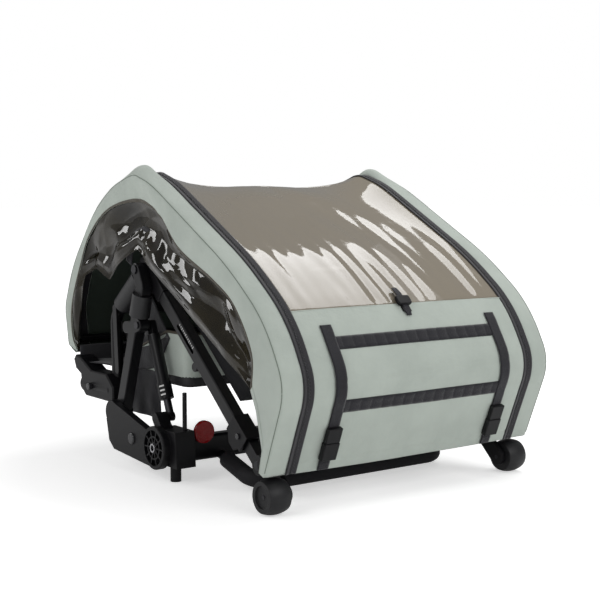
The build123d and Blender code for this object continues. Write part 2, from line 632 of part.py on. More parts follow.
ROD_TOP = 66
OPEN_PIVOT_GAP = 0.7     # the lower eye is loose on its pin, because this pivot closes the linkage
with BuildPart() as strut_rod:
    with BuildSketch(Plane(origin=spot(STRUT_X, *between(STRUT_TOP, STRUT_FOOT, ROD_TOP)), z_dir=STRUT_DIR)):
        Circle(ROD_R)
    extrude(amount=STRUT_LENGTH - ROD_TOP - 6)
    with BuildSketch(side_plane(STRUT_X - EYE_THICK / 2)):
        disc(STRUT_FOOT, EYE_R)
    extrude(amount=EYE_THICK)
    with BuildSketch(side_plane(STRUT_X - EYE_THICK / 2)):
        disc(STRUT_FOOT, 4 + OPEN_PIVOT_GAP)
    extrude(amount=EYE_THICK, mode=Mode.SUBTRACT)
save_sides(strut_rod.part, "strut_rod")

# ================= canopy =================

HOOP_R, HOOP_DEPTH = 9, 17
hoop_points = inset(CANOPY, HOOP_DEPTH)
hoop_points[0] = (-16, 108)
with BuildPart() as hoop:
    with BuildLine() as hoop_path:
        FilletPolyline(*[spot(-HOOP_X, *point) for point in hoop_points[:-1]],
                       radius=[r - HOOP_DEPTH for r in CANOPY_RADII[:-1]])
    with BuildSketch(Plane(origin=hoop_path.line @ 0, z_dir=hoop_path.line % 0)):
        Circle(HOOP_R)
    sweep()
    with BuildSketch(side_plane(-HOOP_X - HOOP_R)):
        bar(HOOP_PIN, (-17, 112), 20)
        disc(HOOP_PIN, 5 + FIT, mode=Mode.SUBTRACT)
    extrude(amount=2 * HOOP_R)
save_sides(hoop.part, "hoop")

REAR_TUBE, TIP_TUBE = (11, 352), (778, 246)
with BuildPart() as canopy_cross_tubes:
    for place in (REAR_TUBE, TIP_TUBE):
        with BuildSketch(Plane(origin=spot(-HOOP_X + HOOP_R - 2, *place), z_dir=(1, 0, 0))):
            Circle(8)
            Circle(6, mode=Mode.SUBTRACT)
        extrude(amount=2 * (HOOP_X - HOOP_R + 2))
save(canopy_cross_tubes.part, "canopy_cross_tubes")

# Fabric side: the flat band outside the hoop and the gusset that turns inward to the zip.
ZIP_WIDTH = 20
ALL_LOW, ALL_HIGH = (-120, 60), (830, 660)
with BuildPart() as side_cover:
    with BuildSketch(side_plane(-COVER_X - CLOTH)):
        with BuildLine():
            canopy_line(-CLOTH / 2)
            Polyline(inset(CANOPY, -CLOTH / 2)[0], *HEM_EDGE)
            Spline(*WINDOW_EDGE)
            Line(WINDOW_EDGE[-1], inset(CANOPY, -CLOTH / 2)[-1])
        make_face()
    extrude(amount=CLOTH)
    with BuildSketch(side_plane(-COVER_X)):
        canopy_strip(0, CLOTH, ALL_LOW, ALL_HIGH)
    extrude(amount=COVER_X - ZIP_X - ZIP_WIDTH / 2)
save_sides(side_cover.part, "side_cover")

with BuildPart() as zip_tapes:
    with BuildSketch(side_plane(-ZIP_X - ZIP_WIDTH / 2)):
        canopy_strip(0, 3, ALL_LOW, ALL_HIGH)
    extrude(amount=ZIP_WIDTH)
    mirror(about=Plane.YZ)
save(zip_tapes.part, "zip_tapes")

# The three sheets between the zips.
SHEET_X = ZIP_X - ZIP_WIDTH / 2
for name, thickness, low, high in (
        ("rear_panel", CLOTH, ALL_LOW, (300, PANEL_TOP)),
        ("top_window", 2, (ALL_LOW[0], PANEL_TOP), (WINDOW_FRONT, ALL_HIGH[1])),
        ("front_panel", CLOTH, (WINDOW_FRONT, ALL_LOW[1]), ALL_HIGH)):
    with BuildPart() as sheet:
        with BuildSketch(side_plane(-SHEET_X)):
            canopy_strip(0, thickness, low, high)
        extrude(amount=2 * SHEET_X)
    save(sheet.part, name)

# Side window: clear sheet inside the fabric side's opening, down to a line above the rail.
WINDOW_LOW = [(748, 225), (742, 300), (690, 418), (560, 428), (500, 458), (446, 474), (408, 452)]
with BuildPart() as side_window:
    with BuildSketch(side_plane(-COVER_X - 1.8)):
        with BuildLine():
            Spline(*WINDOW_EDGE)
            Polyline(*WINDOW_LOW, WINDOW_EDGE[0])
        make_face()
    extrude(amount=1.6)
save_sides(side_window.part, "side_window")

# Webbing rows sewn across the rear panel, and the compression straps down it.
WEBBING_DEPTH = -CLOTH / 2 - 1.1
WEBBING_X = STRAP_X - WEBBING / 2 - 1
with BuildPart() as panel_webbing:
    for low_edge, high_edge in ((184, 208), (295, 317)):
        with BuildSketch(side_plane(-WEBBING_X)):
            canopy_strip(WEBBING_DEPTH, 2, (ALL_LOW[0], low_edge), (100, high_edge))
        extrude(amount=2 * WEBBING_X)
    for x in (-STRAP_X, STRAP_X):
        with BuildSketch(side_plane(x - WEBBING / 2)):
            canopy_strip(WEBBING_DEPTH, 2, (ALL_LOW[0], 76), (100, 336))
        extrude(amount=WEBBING)
save(panel_webbing.part, "panel_webbing")

# Side-release buckles: the body below and the pronged clip above it.
BUCKLE_FOOT, BUCKLE_HEAD = CANOPY[0], CANOPY[1]
BUCKLE_LIFT = CLOTH / 2 + 2.6
BUCKLE_WIDTH, BUCKLE_THICK = 34, 12
BODY_LOW, BODY_HIGH, CLIP_HIGH = 26, 62, 92
PRONG_WIDTH, PRONG_THICK, PRONG_DEPTH = 20, 6, 24


def buckle_box(low, high, width, thick, mode=Mode.ADD):
    """Box on the left strap, between two distances up the panel's straight foot."""
    middle = BUCKLE_LIFT + BUCKLE_THICK / 2
    with BuildSketch(side_plane(-STRAP_X - width / 2)) as section:
        bar(between(BUCKLE_FOOT, BUCKLE_HEAD, low, middle), between(BUCKLE_FOOT, BUCKLE_HEAD, high, middle),
            thick, round_ends=False)
    extrude(section.sketch, amount=width, mode=mode)


with BuildPart() as buckle_bodies:
    buckle_box(BODY_LOW, BODY_HIGH, BUCKLE_WIDTH, BUCKLE_THICK)
    fillet(buckle_bodies.edges(), radius=2)
    buckle_box(BODY_HIGH - PRONG_DEPTH - 1, BODY_HIGH + 1, PRONG_WIDTH + 0.6, PRONG_THICK + 0.6,
               mode=Mode.SUBTRACT)
    mirror(about=Plane.YZ)
save(buckle_bodies.part, "buckle_bodies")

with BuildPart() as buckle_clip:
    buckle_box(BODY_HIGH + 0.4, CLIP_HIGH, BUCKLE_WIDTH - 2, BUCKLE_THICK - 2)
    fillet(buckle_clip.edges(), radius=1.5)
    buckle_box(BODY_HIGH - PRONG_DEPTH, BODY_HIGH + 4, PRONG_WIDTH, PRONG_THICK)
    buckle_box(BODY_HIGH - PRONG_DEPTH - 1, BODY_HIGH - 1, PRONG_WIDTH - 12, PRONG_THICK, mode=Mode.SUBTRACT)
save_sides(buckle_clip.part, "buckle_clip")

# Toggle at the middle of the panel's top edge, which holds the rolled-up cover.
with BuildPart() as window_toggle:
    with BuildSketch(side_plane(-9)):
        with BuildLine():
            canopy_line(-5.2)
        trace(line_width=6)
        with Locations((0, PANEL_TOP - 3)):
            Rectangle(60, 16, mode=Mode.INTERSECT)
    extrude(amount=18)
save(window_toggle.part, "window_toggle")

# Zip sliders at the front of the canopy, with a hanging pull on each.
SLIDER = (803.8, 318)
PULL_PIN = (813, 316)
PULL_PIN_R = 1.2
with BuildPart() as zip_sliders:
    with BuildSketch(side_plane(-ZIP_X - 5)):
        bar((SLIDER[0] + 4, SLIDER[1] - 8), (SLIDER[0] + 4, SLIDER[1] + 8), 5, round_ends=False)
    extrude(amount=10)
    for x in (-ZIP_X - 4.5, -ZIP_X + 2.5):
        with BuildSketch(side_plane(x)):
            bar((SLIDER[0] + 5, PULL_PIN[1]), PULL_PIN, 5)
        extrude(amount=2)
    with BuildSketch(side_plane(-ZIP_X - 4)):
        disc(PULL_PIN, PULL_PIN_R)
    extrude(amount=8)
    mirror(about=Plane.YZ)
save(zip_sliders.part, "zip_sliders")

with BuildPart() as zip_pull:
    with BuildSketch(side_plane(-ZIP_X - 2)):
        bar(PULL_PIN, (PULL_PIN[0] + 0.5, PULL_PIN[1] - 26), 4)
        disc(PULL_PIN, PULL_PIN_R + FIT, mode=Mode.SUBTRACT)
    extrude(amount=4)
save_sides(zip_pull.part, "zip_pull")
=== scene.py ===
import math

import bpy
import numpy as np
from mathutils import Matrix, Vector


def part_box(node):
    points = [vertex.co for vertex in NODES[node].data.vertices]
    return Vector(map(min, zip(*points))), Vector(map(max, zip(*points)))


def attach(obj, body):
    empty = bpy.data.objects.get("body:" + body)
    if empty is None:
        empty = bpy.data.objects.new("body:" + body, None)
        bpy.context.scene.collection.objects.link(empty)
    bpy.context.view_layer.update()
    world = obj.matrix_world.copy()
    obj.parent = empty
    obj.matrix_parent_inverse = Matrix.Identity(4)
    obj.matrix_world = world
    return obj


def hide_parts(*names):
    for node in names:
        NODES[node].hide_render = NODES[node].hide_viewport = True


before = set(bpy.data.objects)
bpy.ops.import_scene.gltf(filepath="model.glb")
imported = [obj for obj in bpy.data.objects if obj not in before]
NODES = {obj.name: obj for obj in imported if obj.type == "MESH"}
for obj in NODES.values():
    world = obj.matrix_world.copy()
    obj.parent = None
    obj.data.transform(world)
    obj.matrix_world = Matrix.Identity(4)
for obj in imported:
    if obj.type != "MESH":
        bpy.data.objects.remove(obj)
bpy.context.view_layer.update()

# Looks of a child bicycle trailer, folded: sage fabric cover, tinted film, black frame.
# Side-view points are (station, height) in millimetres, as in the CAD source. Everything else
# is in metres in the row frame: X across (left is -X), Y forward, Z up.
MM = 0.001
ORIGIN_STATION = 368.5
SIDES = (("left", -1), ("right", 1))

# ---- named values shared with the CAD source ----
ZIP_X, ZIP_WIDTH = 274, 20
SHEET_X = ZIP_X - ZIP_WIDTH / 2
COVER_X = 329
RAIL_X, RAIL_THICK, RAIL_ANGLE = 288, 25, 40
FOOT_PIN = (48, 80)
PANEL_TOP, WINDOW_FRONT = 363, 655
STRAP_X, WEBBING = 205, 25
CANOPY = [(-19, 74), (-84, 238), (-24, 352), (100, 447), (456, 640), (640, 535), (765, 415),
          (806, 318), (790, 232), (752, 218)]
CANOPY_RADII = [90, 300, 800, 48, 500, 260, 60, 14]
HEM_EDGE = [(-4, 80), (-14, 122), (4, 190), (22, 226)]
WINDOW_EDGE = [(22, 226), (20, 290), (72, 369), (142, 412), (262, 464), (336, 528), (428, 559),
               (558, 542), (660, 484), (716, 420), (764, 334), (768, 262), (748, 225)]
# The film hangs lower at the front than the flat CAD sheet, in a loose fold over the front arm.
WINDOW_LOW = [(748, 225), (738, 310), (700, 396), (640, 414), (568, 393), (530, 424), (486, 446),
              (446, 462), (408, 440)]
TUB_BACK, TUB_FRONT, TUB_LOW, TUB_HIGH, TUB_X = 345, 560, 182, 292, 268


# ================= materials =================

def into(made, socket):
    """A socket of a material's principled shader."""
    return made.node_tree.nodes["Principled BSDF"].inputs[socket]


def shader(name, colour, rough, metal=0.0, **sockets):
    """A principled material; the sockets are given by name with _ for each space."""
    made = bpy.data.materials.new(name)
    made.use_nodes = True
    sockets.update(Base_Color=(*colour, 1), Roughness=rough, Metallic=metal)
    for socket, value in sockets.items():
        into(made, socket.replace("_", " ")).default_value = value
    return made


def add(made, kind, **values):
    """A new node of a material or world with its own values set; a socket is named with _ for
    each space."""
    node = made.node_tree.nodes.new(kind)
    for name, value in values.items():
        socket = name.replace("_", " ")
        if socket in node.inputs:
            node.inputs[socket].default_value = value
        else:
            setattr(node, name, value)
    return node


def link(made, source, target):
    made.node_tree.links.new(source, target)


def coordinates(made, scale=(1, 1, 1)):
    """Object coordinates in metres, stretched by a scale."""
    place = add(made, "ShaderNodeTexCoord")
    mapping = add(made, "ShaderNodeMapping", Scale=scale)
    link(made, place.outputs["Object"], mapping.inputs["Vector"])
    return mapping.outputs["Vector"]


def noise(made, where, size, detail, rough):
    """Noise with patches of a size in metres."""
    made_noise = add(made, "ShaderNodeTexNoise", Scale=1 / size, Detail=detail, Roughness=rough)
    link(made, where, made_noise.inputs["Vector"])
    return made_noise.outputs["Fac"]


def grain(made, sizes, heights, scale=(1, 1, 1), strength=1.0):
    """Bumps from noises of several sizes in metres, one on top of another."""
    where = coordinates(made, scale)
    normal = None
    for size, height in zip(sizes, heights):
        bump = add(made, "ShaderNodeBump", Strength=strength, Distance=height)
        link(made, noise(made, where, size, 3.0, 0.55), bump.inputs["Height"])
        if normal is not None:
            link(made, normal, bump.inputs["Normal"])
        normal = bump.outputs["Normal"]
    link(made, normal, into(made, "Normal"))


def mottle(made, dark, light, size, low=0.35, high=0.65):
    """Base colour that drifts between two colours over patches of a size."""
    ramp = add(made, "ShaderNodeValToRGB")
    for stop, position, colour in zip(ramp.color_ramp.elements, (low, high), (dark, light)):
        stop.position = position
        stop.color = (*colour, 1)
    link(made, noise(made, coordinates(made), size, 4.0, 0.6), ramp.inputs["Fac"])
    link(made, ramp.outputs["Color"], into(made, "Base Color"))


def edge_catch(made, radius):
    """Softly rounded edges for a CAD solid, so that they catch the light."""
    bevel = add(made, "ShaderNodeBevel", samples=4, Radius=radius)
    before = into(made, "Normal").links
    if before:
        link(made, before[0].from_socket, bevel.inputs["Normal"])
    link(made, bevel.outputs["Normal"], into(made, "Normal"))


SAGE_DARK, SAGE_LIGHT = (0.435, 0.485, 0.44), (0.485, 0.538, 0.488)
sage = shader("sage_fabric", SAGE_LIGHT, 0.82, Sheen_Weight=0.25, Sheen_Roughness=0.5,
              Specular_IOR_Level=0.25)
mottle(sage, SAGE_DARK, SAGE_LIGHT, 0.09)
grain(sage, (0.012, 0.0011), (0.0016, 0.00035), strength=0.55)
# The dark sage of the fabric's inner face is painted shade: the inside of the canopy is the same
# sage, in shade.
inner_face_painted_shade = shader("sage_inner_painted_shade", (0.06, 0.078, 0.064), 0.9, Specular_IOR_Level=0.15)
grain(inner_face_painted_shade, (0.004,), (0.0006,), strength=0.5)
binding = shader("taupe_binding", (0.075, 0.066, 0.05), 0.5, Specular_IOR_Level=0.4)
grain(binding, (0.0012,), (0.0003,), strength=0.6)
webbing = shader("black_webbing", (0.012, 0.0115, 0.016), 0.72, Sheen_Weight=0.35,
                 Sheen_Roughness=0.4, Specular_IOR_Level=0.35)
grain(webbing, (0.0016, 0.0007), (0.0005, 0.0003), scale=(1, 1, 2.4), strength=0.9)
zip_cloth = shader("zip_tape", (0.02, 0.019, 0.023), 0.7, Sheen_Weight=0.3,
                   Specular_IOR_Level=0.35)
grain(zip_cloth, (0.0012,), (0.0004,), strength=0.8)
zip_teeth = shader("zip_teeth", (0.03, 0.03, 0.034), 0.32, Specular_IOR_Level=0.6)
seat_cloth = shader("seat_fabric", (0.03, 0.03, 0.034), 0.85, Sheen_Weight=0.3,
                    Specular_IOR_Level=0.25)
grain(seat_cloth, (0.006, 0.001), (0.001, 0.0003), strength=0.7)
foam = shader("foam_sleeve", (0.012, 0.0115, 0.014), 0.72, Specular_IOR_Level=0.3)
grain(foam, (0.0022,), (0.0005,), strength=0.7)
glossy_foam = shader("wrapped_foam", (0.014, 0.014, 0.016), 0.42, Specular_IOR_Level=0.5)
grain(glossy_foam, (0.02, 0.003), (0.002, 0.0003), strength=0.5)
frame_paint = shader("frame_paint", (0.0045, 0.0045, 0.0058), 0.34, Specular_IOR_Level=0.3)
grain(frame_paint, (0.0012,), (0.00008,), strength=0.6)
edge_catch(frame_paint, 0.0014)
moulded = shader("moulded_nylon", (0.005, 0.0048, 0.006), 0.44, Specular_IOR_Level=0.25)
grain(moulded, (0.0009,), (0.00012,), strength=0.7)
edge_catch(moulded, 0.0012)
button_plastic = shader("button_plastic", (0.02, 0.02, 0.023), 0.22, Specular_IOR_Level=0.6)
edge_catch(button_plastic, 0.0008)
roller_plastic = shader("roller_plastic", (0.01, 0.01, 0.0115), 0.48, Specular_IOR_Level=0.4)
grain(roller_plastic, (0.0014,), (0.00018,), strength=0.7)
edge_catch(roller_plastic, 0.0016)
dark_steel = shader("dark_steel", (0.06, 0.06, 0.065), 0.35, metal=1.0)
edge_catch(dark_steel, 0.0005)
steel = shader("steel", (0.5, 0.5, 0.52), 0.3, metal=1.0)
grain(steel, (0.0008,), (0.00004,), strength=0.5)
edge_catch(steel, 0.0005)
zip_metal = shader("zip_metal", (0.03, 0.03, 0.034), 0.28, Specular_IOR_Level=0.7)
edge_catch(zip_metal, 0.0004)
reflector = shader("reflector_red", (0.26, 0.003, 0.004), 0.16, Coat_Weight=0.15,
                   Specular_IOR_Level=0.3)
cells = add(reflector, "ShaderNodeTexVoronoi", Scale=260.0)
link(reflector, coordinates(reflector), cells.inputs["Vector"])
prism = add(reflector, "ShaderNodeBump", Strength=0.6, Distance=0.0012)
link(reflector, cells.outputs["Distance"], prism.inputs["Height"])
link(reflector, prism.outputs["Normal"], into(reflector, "Normal"))
mark_paint = shader("scale_marks", (0.75, 0.75, 0.74), 0.5)
tub_base = shader("tub_base", (0.02, 0.02, 0.022), 0.6, Specular_IOR_Level=0.4)
grain(tub_base, (0.002,), (0.0003,), strength=0.6)
window_film = shader("window_film", (0.33, 0.289, 0.225), 0.06, Alpha=0.82, Coat_Weight=0.9,
                     Coat_Roughness=0.02, Coat_IOR=1.5, IOR=1.5, Specular_IOR_Level=0.35)
grain(window_film, (0.045,), (0.001,), strength=0.5)
# The side film is near-black and almost opaque: painted shade for the dark inside seen through it;
# the drift between olive tints is random tone.
side_film_painted_shade = shader("side_film_painted_shade", (0.014, 0.011, 0.006), 0.05, Alpha=0.93, Coat_Weight=0.65,
                   Coat_Roughness=0.02, Coat_IOR=1.5, IOR=1.45, Specular_IOR_Level=0.1)
mottle(side_film_painted_shade, (0.008, 0.0065, 0.004), (0.026, 0.021, 0.011), 0.07, 0.35, 0.7)
# The seam line's darker sage is painted shade along the seam between gusset and band.
seam_painted_shade = shader("seam_painted_shade", (0.2, 0.235, 0.2), 0.9)

NODE_LOOKS = {
    frame_paint: ("rail_left", "rail_right", "leg_left", "leg_right", "front_arms", "foot_tubes",
                  "hoop_left", "hoop_right", "canopy_cross_tubes", "cross_tubes", "axle_crossbar",
                  "bumper_bar", "strut_tube_left", "strut_tube_right"),
    moulded: ("rail_sockets", "roller_brackets", "shoulder_joints", "tow_bracket_left",
              "tow_bracket_right", "axle_housing_left", "axle_housing_right", "hub_plates",
              "brake_pedal", "buckle_bodies", "buckle_clip_left", "buckle_clip_right",
              "window_toggle"),
    button_plastic: ("foot_button_left", "foot_button_right", "release_button_left",
                     "release_button_right", "tow_pin_left", "tow_pin_right"),
    roller_plastic: ("roller_left", "roller_right"),
    steel: ("axle_bushes",),
    dark_steel: ("frame_bolts", "strut_rod_left", "strut_rod_right"),
    reflector: ("reflectors",),
    zip_metal: ("zip_sliders", "zip_pull_left", "zip_pull_right"),
    foam: ("bumper_sleeve", "front_cross_sleeve"),
    glossy_foam: ("leg_sleeves", "front_sleeves"),
}
for look, names in NODE_LOOKS.items():
    for name in names:
        node = NODES[name]
        node.data = node.data.copy()
        if not node.material_slots:
            node.data.materials.append(look)
        for place in node.material_slots:
            place.link = "OBJECT"
            place.material = look


# ================= side-view curves =================

def unit(vectors):
    return vectors / np.linalg.norm(vectors, axis=-1, keepdims=True)


def rounded(points, radii, step=2.0):
    """A polyline with rounded corners, as points about a step apart, in millimetres."""
    points = [np.array(p, float) for p in points]
    track = [points[0]]
    for before, corner, after, radius in zip(points, points[1:], points[2:], radii):
        back, ahead = unit(before - corner), unit(after - corner)
        half = math.acos(np.clip(back @ ahead, -1, 1)) / 2
        centre = corner + unit(back + ahead) * radius / math.sin(half)
        start = corner + back * radius / math.tan(half)
        end = corner + ahead * radius / math.tan(half)
        a = math.atan2(*(start - centre)[::-1])
        turn = math.atan2(*(end - centre)[::-1]) - a
        turn = (turn + math.pi) % (2 * math.pi) - math.pi
        count = max(3, int(abs(turn) * radius / step))
        for t in np.linspace(0, 1, count):
            angle = a + turn * t
            track.append(centre + radius * np.array([math.cos(angle), math.sin(angle)]))
    track.append(points[-1])
    return np.array(track)


def lengths(line):
    """Distance along a polyline at each of its points."""
    return np.concatenate([[0], np.cumsum(np.linalg.norm(np.diff(line, axis=0), axis=1))])


def along(line, share):
    """Points of a polyline at shares of its length from 0 to 1."""
    arc = lengths(line)
    return np.stack([np.interp(np.asarray(share) * arc[-1], arc, line[:, k])
                     for k in range(line.shape[1])], axis=-1)


def smooth_through(points, count=400):
    """A smooth curve through points, as a dense polyline."""
    p = np.array(points, float)
    p = np.vstack([2 * p[0] - p[1], p, 2 * p[-1] - p[-2]])
    track = []
    for i in range(1, len(p) - 2):
        t = np.linspace(0, 1, max(4, count // len(points)), endpoint=i == len(p) - 3)[:, None]
        track.append(0.5 * (2 * p[i] + (p[i + 1] - p[i - 1]) * t
                            + (2 * p[i - 1] - 5 * p[i] + 4 * p[i + 1] - p[i + 2]) * t**2
                            + (3 * p[i] - p[i - 1] - 3 * p[i + 1] + p[i + 2]) * t**3))
    return np.vstack(track)


def share_near(line, point):
    """Share of a polyline's length at which it comes nearest to a point."""
    nearest = np.argmin(np.linalg.norm(line - np.array(point, float), axis=1))
    return lengths(line)[nearest] / lengths(line)[-1]


def outward(line):
    """Unit vectors to the left of a polyline's direction."""
    ahead = unit(np.gradient(line, axis=0))
    return np.stack([-ahead[:, 1], ahead[:, 0]], axis=1)


SHARES = np.linspace(0, 1, 900)
outline = along(rounded(CANOPY, CANOPY_RADII), SHARES)
outline_out = outward(outline)
outline_length = lengths(outline)[-1]
CREST, CREST_DIP = (456, 640), 15
crest_share = share_near(outline, CREST)


def crest_dip(share):
    """How far the zips sink beside the hoops' crests, where only the hoops hold the fabric up."""
    return CREST_DIP * np.exp(-((np.asarray(share) - crest_share) / 0.042) ** 2)


def outline_at(share):
    """The outline's side-view points at shares of its length, and its outward unit vectors."""
    return [np.stack([np.interp(share, SHARES, line[:, k]) for k in (0, 1)], axis=-1)
            for line in (outline, outline_out)]


def placed(x, station, height):
    """Points in metres from arrays of x, station and height in millimetres."""
    x, station, height = np.broadcast_arrays(x, station, height)
    return np.stack([x, station - ORIGIN_STATION, height], axis=-1) * MM


def share_at_height(height):
    """Share along the canopy's outline at which its rear side reaches a height."""
    rear = SHARES < crest_share
    return float(np.interp(height, outline[rear, 1], SHARES[rear]))


def share_at_station(station):
    """The same for a station on the front side."""
    front = (SHARES > crest_share) & (SHARES < 0.9)
    return float(np.interp(station, outline[front, 0], SHARES[front]))


def canopy_point(share, x, lift=0.0):
    """Points in metres on the canopy's outline at x, raised by a lift; arrays of one shape."""
    share, x, lift = np.broadcast_arrays(share, x, lift)
    flat, out = outline_at(share)
    return placed(x, flat[..., 0] + out[..., 0] * lift, flat[..., 1] + out[..., 1] * lift)


def along_rail(distance, offset=0.0):
    """Station and height at a distance up the rail from its foot, and at an offset above it."""
    a = math.radians(RAIL_ANGLE)
    return (FOOT_PIN[0] + distance * math.cos(a) - offset * math.sin(a),
            FOOT_PIN[1] + distance * math.sin(a) + offset * math.cos(a))


# ================= meshes =================

def put(name, data):
    """A new object in the scene, made from a mesh, light or camera."""
    made = bpy.data.objects.new(name, data)
    bpy.context.scene.collection.objects.link(made)
    return made


def new_object(name, vertices, faces, look, smooth=True):
    mesh = bpy.data.meshes.new(name)
    mesh.from_pydata([tuple(v) for v in vertices], [], faces)
    mesh.update()
    mesh.polygons.foreach_set("use_smooth", [smooth] * len(mesh.polygons))
    mesh.materials.append(look)
    return put(name, mesh)


def grid_faces(rows, columns, close_columns=False, base=0):
    """Quads between the points of a rows x columns grid that starts at vertex base."""
    faces = []
    for i in range(rows - 1):
        for j in range(columns if close_columns else columns - 1):
            a, b = base + i * columns + j, base + i * columns + (j + 1) % columns
            faces.append((a, b, b + columns, a + columns))
    return faces


def drum_faces(rows, columns, base=0):
    """The faces of a grid closed round its columns, with both of its ends capped."""
    last = base + (rows - 1) * columns
    return (grid_faces(rows, columns, True, base)
            + [tuple(range(base, base + columns))[::-1], tuple(range(last, last + columns))])


def grid_object(name, points, look, close_columns=False, flip=False):
    """An object from an array of points of shape (rows, columns, 3)."""
    rows, columns = points.shape[:2]
    faces = grid_faces(rows, columns, close_columns=close_columns)
    if flip:
        faces = [face[::-1] for face in faces]
    return new_object(name, points.reshape(-1, 3), faces, look)


def thicken(made, thickness, offset=0.0):
    """Gives a sheet its thickness; offset is -1 inward of its face, 0 centred."""
    solid = made.modifiers.new("thickness", "SOLIDIFY")
    solid.thickness = thickness
    solid.offset = offset
    solid.use_rim = True
    return made


def with_painted_shade_inside(made):
    """Thickens fabric and gives its inner face a dark sage, which is painted shade for the shaded
    inside of the canopy.
    """
    made.data.materials.append(inner_face_painted_shade)
    thicken(made, 0.002, offset=-1)
    made.modifiers["thickness"].material_offset = 1


def soften(made, levels):
    """A subdivision surface, which rounds the mesh off in the render."""
    smooth = made.modifiers.new("smooth", "SUBSURF")
    smooth.levels = levels
    smooth.render_levels = levels


def tube(name, line, radius, look, sides=10):
    """A round tube along a polyline of points in metres, with closed ends."""
    line = np.array(line, float)
    ahead = unit(np.gradient(line, axis=0))
    side = np.cross(ahead, (0, 0, 1.0))
    side[np.linalg.norm(side, axis=1) < 1e-3] = (1, 0, 0)
    side = unit(side)
    up = np.cross(side, ahead)
    angle = np.linspace(0, 2 * np.pi, sides, endpoint=False)
    ring = (np.cos(angle)[None, :, None] * side[:, None]
            + np.sin(angle)[None, :, None] * up[:, None])
    points = line[:, None] + radius * ring
    return new_object(name, points.reshape(-1, 3), drum_faces(len(line), sides), look)


def folds(u, v, seed, waves, reach, sharp=False):
    """Smooth random hills over (u, v) in millimetres, of about unit height. Each wave has its own
    direction; reach is the range of wavelengths; sharp turns the hills into pinched creases."""
    pick = np.random.default_rng(seed)
    total = np.zeros(np.broadcast(u, v).shape)
    for _ in range(waves):
        angle = pick.uniform(0, np.pi)
        length = pick.uniform(*reach)
        phase = pick.uniform(0, 2 * np.pi)
        bend = pick.uniform(0.4, 1.1)
        drift = bend * np.sin((u * np.sin(angle) - v * np.cos(angle)) * 2 * np.pi / (2.7 * length)
                              + pick.uniform(0, 6))
        wave = (u * np.cos(angle) + v * np.sin(angle)) * 2 * np.pi / length + phase + drift
        total += (1 - 2 * np.abs(np.sin(wave / 2))) if sharp else np.sin(wave)
    return total / math.sqrt(waves)


def facets(u, v, seed, waves, reach):
    """Random flat facets that meet in sharp creases, as in crumpled film, of about unit height."""
    pick = np.random.default_rng(seed)
    total = np.zeros(np.broadcast(u, v).shape)
    for _ in range(waves):
        angle = pick.uniform(0, np.pi)
        length = pick.uniform(*reach)
        bow = 0.35 * np.sin((u * np.sin(angle) - v * np.cos(angle)) * 2 * np.pi / (3.1 * length)
                            + pick.uniform(0, 6))
        turns = (u * np.cos(angle) + v * np.sin(angle)) / length + pick.uniform(0, 1) + bow
        total += 1 - 4 * np.abs(turns - np.floor(turns) - 0.5)
    return total / math.sqrt(waves)


INFLATE_FRAMES = 14


def inflate(made, pinned):
    """Blows a closed pad up by cloth simulation, held at the pinned vertices, and keeps the shape
    that it ends in."""
    scene = bpy.context.scene
    group = made.vertex_groups.new(name="pinned")
    group.add([int(i) for i in pinned], 1.0, "REPLACE")
    cloth = made.modifiers.new("cloth", "CLOTH")
    values = cloth.settings
    values.quality = 6
    values.mass = 0.25
    values.tension_stiffness = 25
    values.compression_stiffness = 25
    values.shear_stiffness = 8
    values.bending_stiffness = 2.0
    values.air_damping = 2.0
    values.shrink_min = -0.015
    values.vertex_group_mass = "pinned"
    values.effector_weights.gravity = 0
    values.use_pressure = True
    values.uniform_pressure_force = 1.5
    cloth.collision_settings.use_collision = False
    cloth.collision_settings.use_self_collision = False
    cloth.point_cache.frame_start = 1
    cloth.point_cache.frame_end = INFLATE_FRAMES
    for number in range(1, INFLATE_FRAMES + 1):
        scene.frame_set(number)
    seen = made.evaluated_get(bpy.context.evaluated_depsgraph_get())
    blown_up = bpy.data.meshes.new_from_object(seen)
    made.modifiers.clear()
    made.vertex_groups.clear()
    made.data = blown_up
    scene.frame_set(1)


# ================= fabric sides =================

# Which places of the outline and of the side's inner edge lie opposite each other.
inner_edge = np.vstack([np.array(HEM_EDGE, float)[:-1], smooth_through(WINDOW_EDGE)])
window_share = share_near(inner_edge, WINDOW_EDGE[0])
FACING = [((-19, 74), (-4, 80)), ((-79, 225), (-14, 122)), ((-60, 290), (22, 226)),
          ((-30, 342), (20, 290)), ((60, 418), (72, 369)), ((160, 480), (142, 412)),
          ((290, 550), (262, 464)), ((380, 599), (336, 528)), ((452, 632), (428, 559)),
          ((560, 582), (558, 542)), ((652, 524), (660, 484)), ((728, 452), (716, 420)),
          ((793, 372), (764, 334)), ((797, 280), (768, 262)), ((752, 218), (748, 225))]
outer_marks = [share_near(outline, a) for a, _ in FACING]
inner_marks = [share_near(inner_edge, b) for _, b in FACING]
GUSSET_COLUMNS, BAND_COLUMNS, SIDE_ROWS = 12, 26, 330
side_shares = np.linspace(0, 1, SIDE_ROWS)


def drawn_in(share):
    """How far the front hem of the side is drawn in towards the hoop, in millimetres."""
    t = np.clip((np.asarray(share) - crest_share - 0.06) / 0.22, 0, 1)
    return 15 * t * t * (3 - 2 * t) + 0.3 * crest_dip(share)


